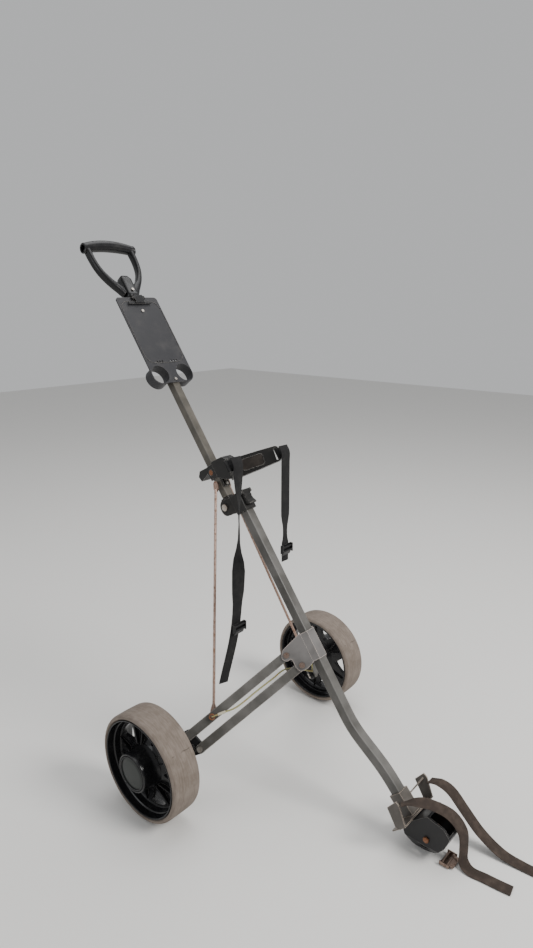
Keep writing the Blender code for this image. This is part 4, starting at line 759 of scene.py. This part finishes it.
def cam_buckle(name, finish, body, node, place, half=16, tall=18, lift=24):
    """Two cheeks, a base, a roller and a lever that stands up. X across, Y out, Z along."""
    bm = bmesh.new()
    for way in (-1, 1):
        low, high = sorted((way * half, way * (half - CHEEK)))
        block(bm, place, (low, 0, -tall / 2), (high, CHEEK_TALL, tall / 2))
    block(bm, place, (1 - half, 0, -tall / 2), (half - 1, 1.6, tall / 2))
    round_bar(bm, place, ROLLER, (1 - half, ROLLER_HIGH, -tall / 4),
              (half - 1, ROLLER_HIGH, -tall / 4))
    pivot = Matrix.Translation((0, ROLLER_HIGH * MM, tall / 4 * MM))
    lever = place @ pivot @ Matrix.Rotation(radians(lift), 4, "X")
    block(bm, lever, (3.2 - half, -1, -2), (half - 3.2, 1, tall * 0.62))
    round_bar(bm, lever, 2.6, (3 - half, 0, 0), (half - 3, 0, 0))
    return make(name, bm, finish, body, node, bevel=0.5 * MM)


print("webbing tools ready")

# %% [markdown]
# The two bag straps loop round the ends of the V arms and hang straight down. The left one is
# gathered into its buckle. The right one is twisted half a turn, so it looks thin for a while.

# %% Bag straps
ARM_ROOT, ARM_TIP = (14, 8, 60), (87, 68, 46)
ARM_LENGTH = (Vector(ARM_TIP) - Vector(ARM_ROOT)).length
DOWN, LEFTWARD = Vector((0, 0, -1)) * MM, Vector((0, 1, 0)) * MM
HANG_X, HANG_Y, HANG_Z = 105, 68, 46    # where a strap leaves its arm
BAG_WIDTH, LOOP_WIDTH, LOOP_THICK = 25, 22, 1.6


def arm_place(sign):
    """X along a bag arm from its root, Y out of the face that looks at the bag, Z up the mast."""
    root, tip = (on_mast(x, y * sign, z) for x, y, z in (ARM_ROOT, ARM_TIP))
    run = (tip - root).normalized()
    face = mast_up.cross(run).normalized()
    turn = Matrix((run, face, run.cross(face))).transposed().to_4x4()
    return Matrix.Translation(root) @ turn


def on_arm(sign, x, y, z=0.0):
    return arm_place(sign) @ (Vector((x, y, z)) * MM)


def hanging(sign, drop, tail):
    """The top of a strap, and its route down from there; the tail swings its end aside."""
    start = on_mast(HANG_X, HANG_Y * sign, HANG_Z)
    return start, [on_mast(HANG_X - 3, HANG_Y * sign, HANG_Z + 9), start + DOWN * 8,
                   start + DOWN * 30, start + DOWN * drop * 0.35,
                   start + DOWN * drop * 0.72 + tail * 0.22, start + DOWN * drop + tail]


def end_loop(sign):
    """Webbing through the arm's slot and round its end bar."""
    near, far = ARM_LENGTH - 7.8, ARM_LENGTH + 12
    places = [(near, 0), (near + 1.5, 5), (near + 9, 6), (far, 9), (far + 2, 11.3), (far, 12),
              (near + 10, -1), (near + 3, -5.5), (near, 0)]
    return [on_arm(sign, x, y * sign) for x, y in places]


# %% [markdown]
# Gathers and twists are given as keys: a distance down the strap in metres, and what holds there.

# %% Hang the bag straps
NECK = [(0, 1), (0.140, 1), (0.176, 0.5), (0.190, 0.5), (0.205, 0.8), (0.3, 0.8)]
HALF_TWIST = [(0, 0), (0.020, 0), (0.120, radians(-42)), (0.160, radians(-50)),
              (0.250, radians(-150)), (0.300, -pi), (0.5, -pi)]
LEFT_DROP, RIGHT_DROP = 236, 446
RIGHT_TAIL = Vector((-14, -34, 0)) * MM
hang_left, left_route = hanging(1, LEFT_DROP, Vector((0, 0, 0)))
hang_right, right_route = hanging(-1, RIGHT_DROP, RIGHT_TAIL)
for side, route, gather, twist in (("left", left_route, NECK, FLAT),
                                   ("right", right_route, STRAIGHT, HALF_TWIST)):
    strap(f"hanging_strap_{side}", black_web, "upper_shaft", [f"bag_strap_{side}"],
          {"route": smooth_route(route), "across": Vector((0, 1, 0)), "width": BAG_WIDTH,
           "gather": gather, "twist": twist})
    strap(f"strap_loop_{side}", black_web, "upper_shaft", [],
          {"route": smooth_route(end_loop(SIDES[side]), 5), "across": mast_up,
           "width": LOOP_WIDTH, "thick": LOOP_THICK, "loop": True})
    length = sum((b - a).length for a, b in zip(route, route[1:]))
    print("strap", side, "is", round(length * 1000), "mm long")

AHEAD = Vector((1, 0, 0))
for side, start, drop, shift in (("left", hang_left, 208, 0), ("right", hang_right, 330, -6)):
    spot = start + DOWN * drop + LEFTWARD * shift + AHEAD * 1.3 * MM
    turn = Matrix((Vector((0, 1, 0)), AHEAD, Vector((0, 0, -1)))).transposed().to_4x4()
    cam_buckle(f"cam_buckle_{side}", satin_black, "upper_shaft", f"bag_buckle_{side}",
               Matrix.Translation(spot) @ turn)

# %% [markdown]
# The foot's straps are brown with dust. One arches out to the floor on the left. The other
# crosses the cup, comes down through a rusty cam buckle and ends in a flat tail.

# %% Foot straps
FOOT_WIDTH = 22
TOE_X = mounts["foot_keel_rest"]["pos_m"][0] / MM - 33.5
FAR_ROUTE = [(14, 53, 92), (34, 54, 97), (56, 57, 88), (82, 62, 58), (112, 65, 28),
             (150, 66, 8), (185, 69, 2), (222, 72, 1.6)]
NEAR_ROUTE = [(10, -44, 100), (28, -31, 106), (50, -14, 103), (82, 1, 90), (102, 9, 62),
              (106, 9, 30), (109, 5, 9), (124, 0, 2), (148, 3, 1.6), (170, 5, 1.6),
              (193, 8, 1.6)]
for side, points, across in (("left", FAR_ROUTE, Vector((0.25, 1, 0))),
                             ("right", NEAR_ROUTE, Vector((0.3, 1, 0)))):
    route = smooth_route([Vector((TOE_X + x, y, z)) * MM for x, y, z in points])
    strap(f"dusty_strap_{side}", brown_web, "frame", [f"foot_strap_{side}"],
          {"route": route, "across": across, "width": FOOT_WIDTH})
    length = sum((b - a).length for a, b in zip(route, route[1:]))
    print("foot strap", side, "is", round(length * 1000), "mm long")
floor_place = Matrix.Translation(Vector((TOE_X + 85, -3, 0.8)) * MM) @ Matrix(
    (Vector((0, 1, 0)), Vector((0, 0, 1)), Vector((1, 0, 0)))).transposed().to_4x4()
cam_buckle("rusty_buckle", brown_rivet, "frame", "foot_buckle", floor_place,
           half=17, tall=18, lift=12)

# %% [markdown]
# The sleeved cable joins the two leg pins behind the mast. It is made in two halves. A cream
# ferrule and a rusty eye finish it at each pin.

# %% Cable
CABLE_RADIUS, FERRULE_RADIUS = 1.5, 2.5
EYE_RADIUS, EYE_WIRE = 5, 1.3
PIN_OUT, EYE_OUT = 7.5, 7.4         # out from the leg's axis: to the pin's head, then to the eye
CABLE_MIDDLE = (-32, 0, -361.4)     # behind the mast, in its frame
EYE_TURNS = 20


def pipe(bm, route, radius, steps=10):
    """A round cable along a route."""
    rows, side_way = [], Vector((0, 0, 1))
    for n, here in enumerate(route):
        run = run_at(route, n)
        side_way = (side_way - run * side_way.dot(run)).normalized()
        other = run.cross(side_way)
        turns = [tau * k / steps for k in range(steps)]
        rows.append([bm.verts.new(here + (side_way * cos(a) + other * sin(a)) * radius * MM)
                     for a in turns])
    for first, second in zip(rows, rows[1:]):
        for n in range(steps):
            m = (n + 1) % steps
            bm.faces.new((first[n], first[m], second[m], second[n]))
    bm.faces.new(rows[0])
    bm.faces.new(rows[-1])


cream = moulding("cream ferrule", "cable_sleeve", (0.5, 0.46, 0.34), (0.62, 0.58, 0.46),
                 0.5, 0.001, 0.5)
behind = on_mast(*CABLE_MIDDLE)
for side, sign in SIDES.items():
    face = Vector(joints[f"leg_fold_{side}"]["axis"]) * -sign * MM
    leg_top = Vector(joints[f"leg_fold_{side}"]["pos_m"])
    pin = Vector(joints[f"stay_swing_{side}"]["pos_m"]) + face * PIN_OUT
    start = pin + face * EYE_OUT
    inward = leg_top - pin
    drop = (Vector(joints[f"link_fold_{side}"]["pos_m"]) - leg_top) * 0.5
    route = smooth_route([start, start + inward * 0.1 + drop * 0.4,
                          start + inward * 0.24 + drop * 0.95 - face * 4,
                          start + inward * 0.5 + drop - face * 8,
                          start + inward * 0.68 + drop * 1.1 - face * 17,
                          start + inward * 0.86 + drop * 1.3 - face * 22, behind], 8)
    bm = bmesh.new()
    pipe(bm, route, CABLE_RADIUS)
    cable = make(f"cable_{side}", bm, khaki_sleeve, None)
    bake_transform(cable)
    if sign > 0:
        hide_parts("leg_cable")
    bm = bmesh.new()
    pipe(bm, route[5:11], FERRULE_RADIUS, 14)
    make(f"ferrule_{side}", bm, cream, f"leg_{side}", bevel=0.4 * MM)
    bm = bmesh.new()
    reach = inward.normalized() * EYE_RADIUS * MM
    pipe(bm, [start + Matrix.Rotation(tau * n / EYE_TURNS, 3, face) @ reach
              for n in range(EYE_TURNS + 1)], EYE_WIRE, 8)
    make(f"cable_eye_{side}", bm, rust_bolt, f"leg_{side}")
    length = sum((b - a).length for a, b in zip(route, route[1:]))
    print("cable half", side, "is", round(length * 1000), "mm long")

# %% [markdown]
# The handle is one moulding: a square socket over the shaft, two arms that leave it through
# broad gussets, and an arched grip, fuller in its middle and hollow at its ends.

# %% Handle
SHAFT_X = -31
SOCKET_LOW, SOCKET_HIGH = 497, 553


def ring_loft(bm, rings, ends=True):
    """Joins rings of points with faces."""
    rows = [[bm.verts.new(point) for point in ring] for ring in rings]
    for first, second in zip(rows, rows[1:]):
        for n in range(len(first)):
            m = (n + 1) % len(first)
            bm.faces.new((first[n], first[m], second[m], second[n]))
    if ends:
        bm.faces.new(rows[0])
        bm.faces.new(rows[-1])


def soft_square(half_x, half_y, power=5, steps=28):
    """A square with rounded corners, as (x, y) pairs."""
    spots = []
    for n in range(steps):
        a, b = cos(tau * n / steps), sin(tau * n / steps)
        size = (abs(a) ** power + abs(b) ** power) ** (-1 / power)
        spots.append((a * size * half_x, b * size * half_y))
    return spots


print("a rounded square has", len(soft_square(1, 1)), "points")

# %% [markdown]
# The socket and the arms are lofts through rounded squares. An arm's stations give its place
# across and up, and its thickness there: it leaves the socket wide and thins towards the grip.

# %% Socket and arms of the handle
SOCKET = ((SOCKET_LOW, 13.2), (SOCKET_LOW + 1.5, 14.2), (SOCKET_LOW + 9, 14.2),
          (SOCKET_LOW + 10.5, 13.3), (SOCKET_HIGH - 12, 13.3), (SOCKET_HIGH - 2, 9.5),
          (SOCKET_HIGH, 7.5))
ARM_STATIONS = [(12, 512, 21), (24, 526, 17), (37, 541, 13), (50, 565, 11), (56, 592, 10.5),
                (57, 624, 12)]
ARM_HALF_DEEP, ARM_SPAN = 8.6, 6
FORWARD = Vector((1, 0, 0))
bm = bmesh.new()
ring_loft(bm, [[on_mast(SHAFT_X + x, y, z) for x, y in soft_square(half, half, 7)]
               for z, half in SOCKET])
for sign in SIDES.values():
    path = smooth_route([Vector((SHAFT_X, y * sign, z)) for y, z, thick in ARM_STATIONS],
                        ARM_SPAN)
    keys = [(k * ARM_SPAN, thick) for k, (y, z, thick) in enumerate(ARM_STATIONS)]
    rings = []
    for n, here in enumerate(path):
        flat = FORWARD.cross(run_at(path, n))
        rings.append([on_mast(*(here + FORWARD * x + flat * y))
                      for x, y in soft_square(ARM_HALF_DEEP, between(keys, n) / 2, 3)])
    ring_loft(bm, rings)
print("socket and arms:", len(bm.faces), "faces")

# %% [markdown]
# The grip is a loft through circles, with a blind bore in each end. Its radius swells and its
# height arches towards the middle.

# %% Grip
GRIP_END, BORE_DEEP = 66, 24
GRIP_RADIUS, GRIP_SWELL = 10.6, 1.9
GRIP_HEIGHT, GRIP_ARCH, GRIP_SIDES = 626, 9, 32
LIP = [(GRIP_END - BORE_DEEP, 7.6), (GRIP_END - 0.6, 7.8), (GRIP_END, 8.6), (GRIP_END, 10.6),
       (GRIP_END - 1.2, 11.4)]
stations = [(-y, radius) for y, radius in LIP]
stations += [(y, GRIP_RADIUS + GRIP_SWELL * (1 - (y / GRIP_END) ** 2))
             for y in range(-60, 61, 6)]
stations += LIP[::-1]
grip_rings = []
for y, radius in stations:
    height = GRIP_HEIGHT + GRIP_ARCH * (1 - (y / GRIP_END) ** 2)
    turns = [tau * n / GRIP_SIDES for n in range(GRIP_SIDES)]
    grip_rings.append([on_mast(SHAFT_X + radius * cos(a), y, height + radius * sin(a))
                       for a in turns])
ring_loft(bm, grip_rings)
made = make("grip_handle", bm, grip_skin, "upper_shaft", "handle", sharp=40)
print("handle faces:", len(made.data.polygons))

# %% [markdown]
# Each bag arm carries a shallow panel with a raised border on both faces. The plate has a thin
# raised black line just inside its edge.

# %% Raised borders
def border(bm, place, outline, wide, low, high):
    """A raised line round an outline of (x, z) pairs, standing along the place's Y."""
    middle = Vector((sum(x for x, z in outline), sum(z for x, z in outline))) / len(outline)
    rows = []
    for x, z in outline:
        inward = (middle - Vector((x, z))).normalized() * wide
        in_x, in_z = x + inward.x, z + inward.y
        spots = ((x, low, z), (x, high, z), (in_x, high, in_z), (in_x, low, in_z))
        rows.append([place @ (Vector(spot) * MM) for spot in spots])
    ring_loft(bm, rows + rows[:1], ends=False)


def panel_outline(left, right, low, high, steps=40):
    centre_x, centre_z = (left + right) / 2, (low + high) / 2
    corners = soft_square((right - left) / 2, (high - low) / 2, 6, steps)
    return [(centre_x + x, centre_z + z) for x, z in corners]


ARM_FACE, PANEL_HIGH, BORDER_HIGH = 3.2, 3.75, 4.5      # out from the arm's middle plane
for side, sign in SIDES.items():
    place = arm_place(sign)
    bm = bmesh.new()
    for face in (1, -1):
        border(bm, place, panel_outline(14, 62, -13, 12), 1.8, face * ARM_FACE,
               face * BORDER_HIGH)
    make(f"arm_border_{side}", bm, chalky_black, "upper_shaft", bevel=0.3 * MM)
    bm = bmesh.new()
    for face in (1, -1):
        ring_loft(bm, [[place @ (Vector((x, face * y, z)) * MM)
                        for x, z in panel_outline(15, 61, -12, 11)]
                       for y in (ARM_FACE, PANEL_HIGH)])
    make(f"arm_panel_{side}", bm, arm_panel, "upper_shaft")
bm = bmesh.new()
plate_axes = Matrix((Vector((0, 1, 0)), Vector((1, 0, 0)), Vector((0, 0, 1))))
plate_place = MAST @ plate_axes.transposed().to_4x4()
border(bm, plate_place, panel_outline(-52, 52, 330, 484, 64), 1.2, -18.8, -18.0)
make("plate_line", bm, satin_black, "upper_shaft")
print("borders made")
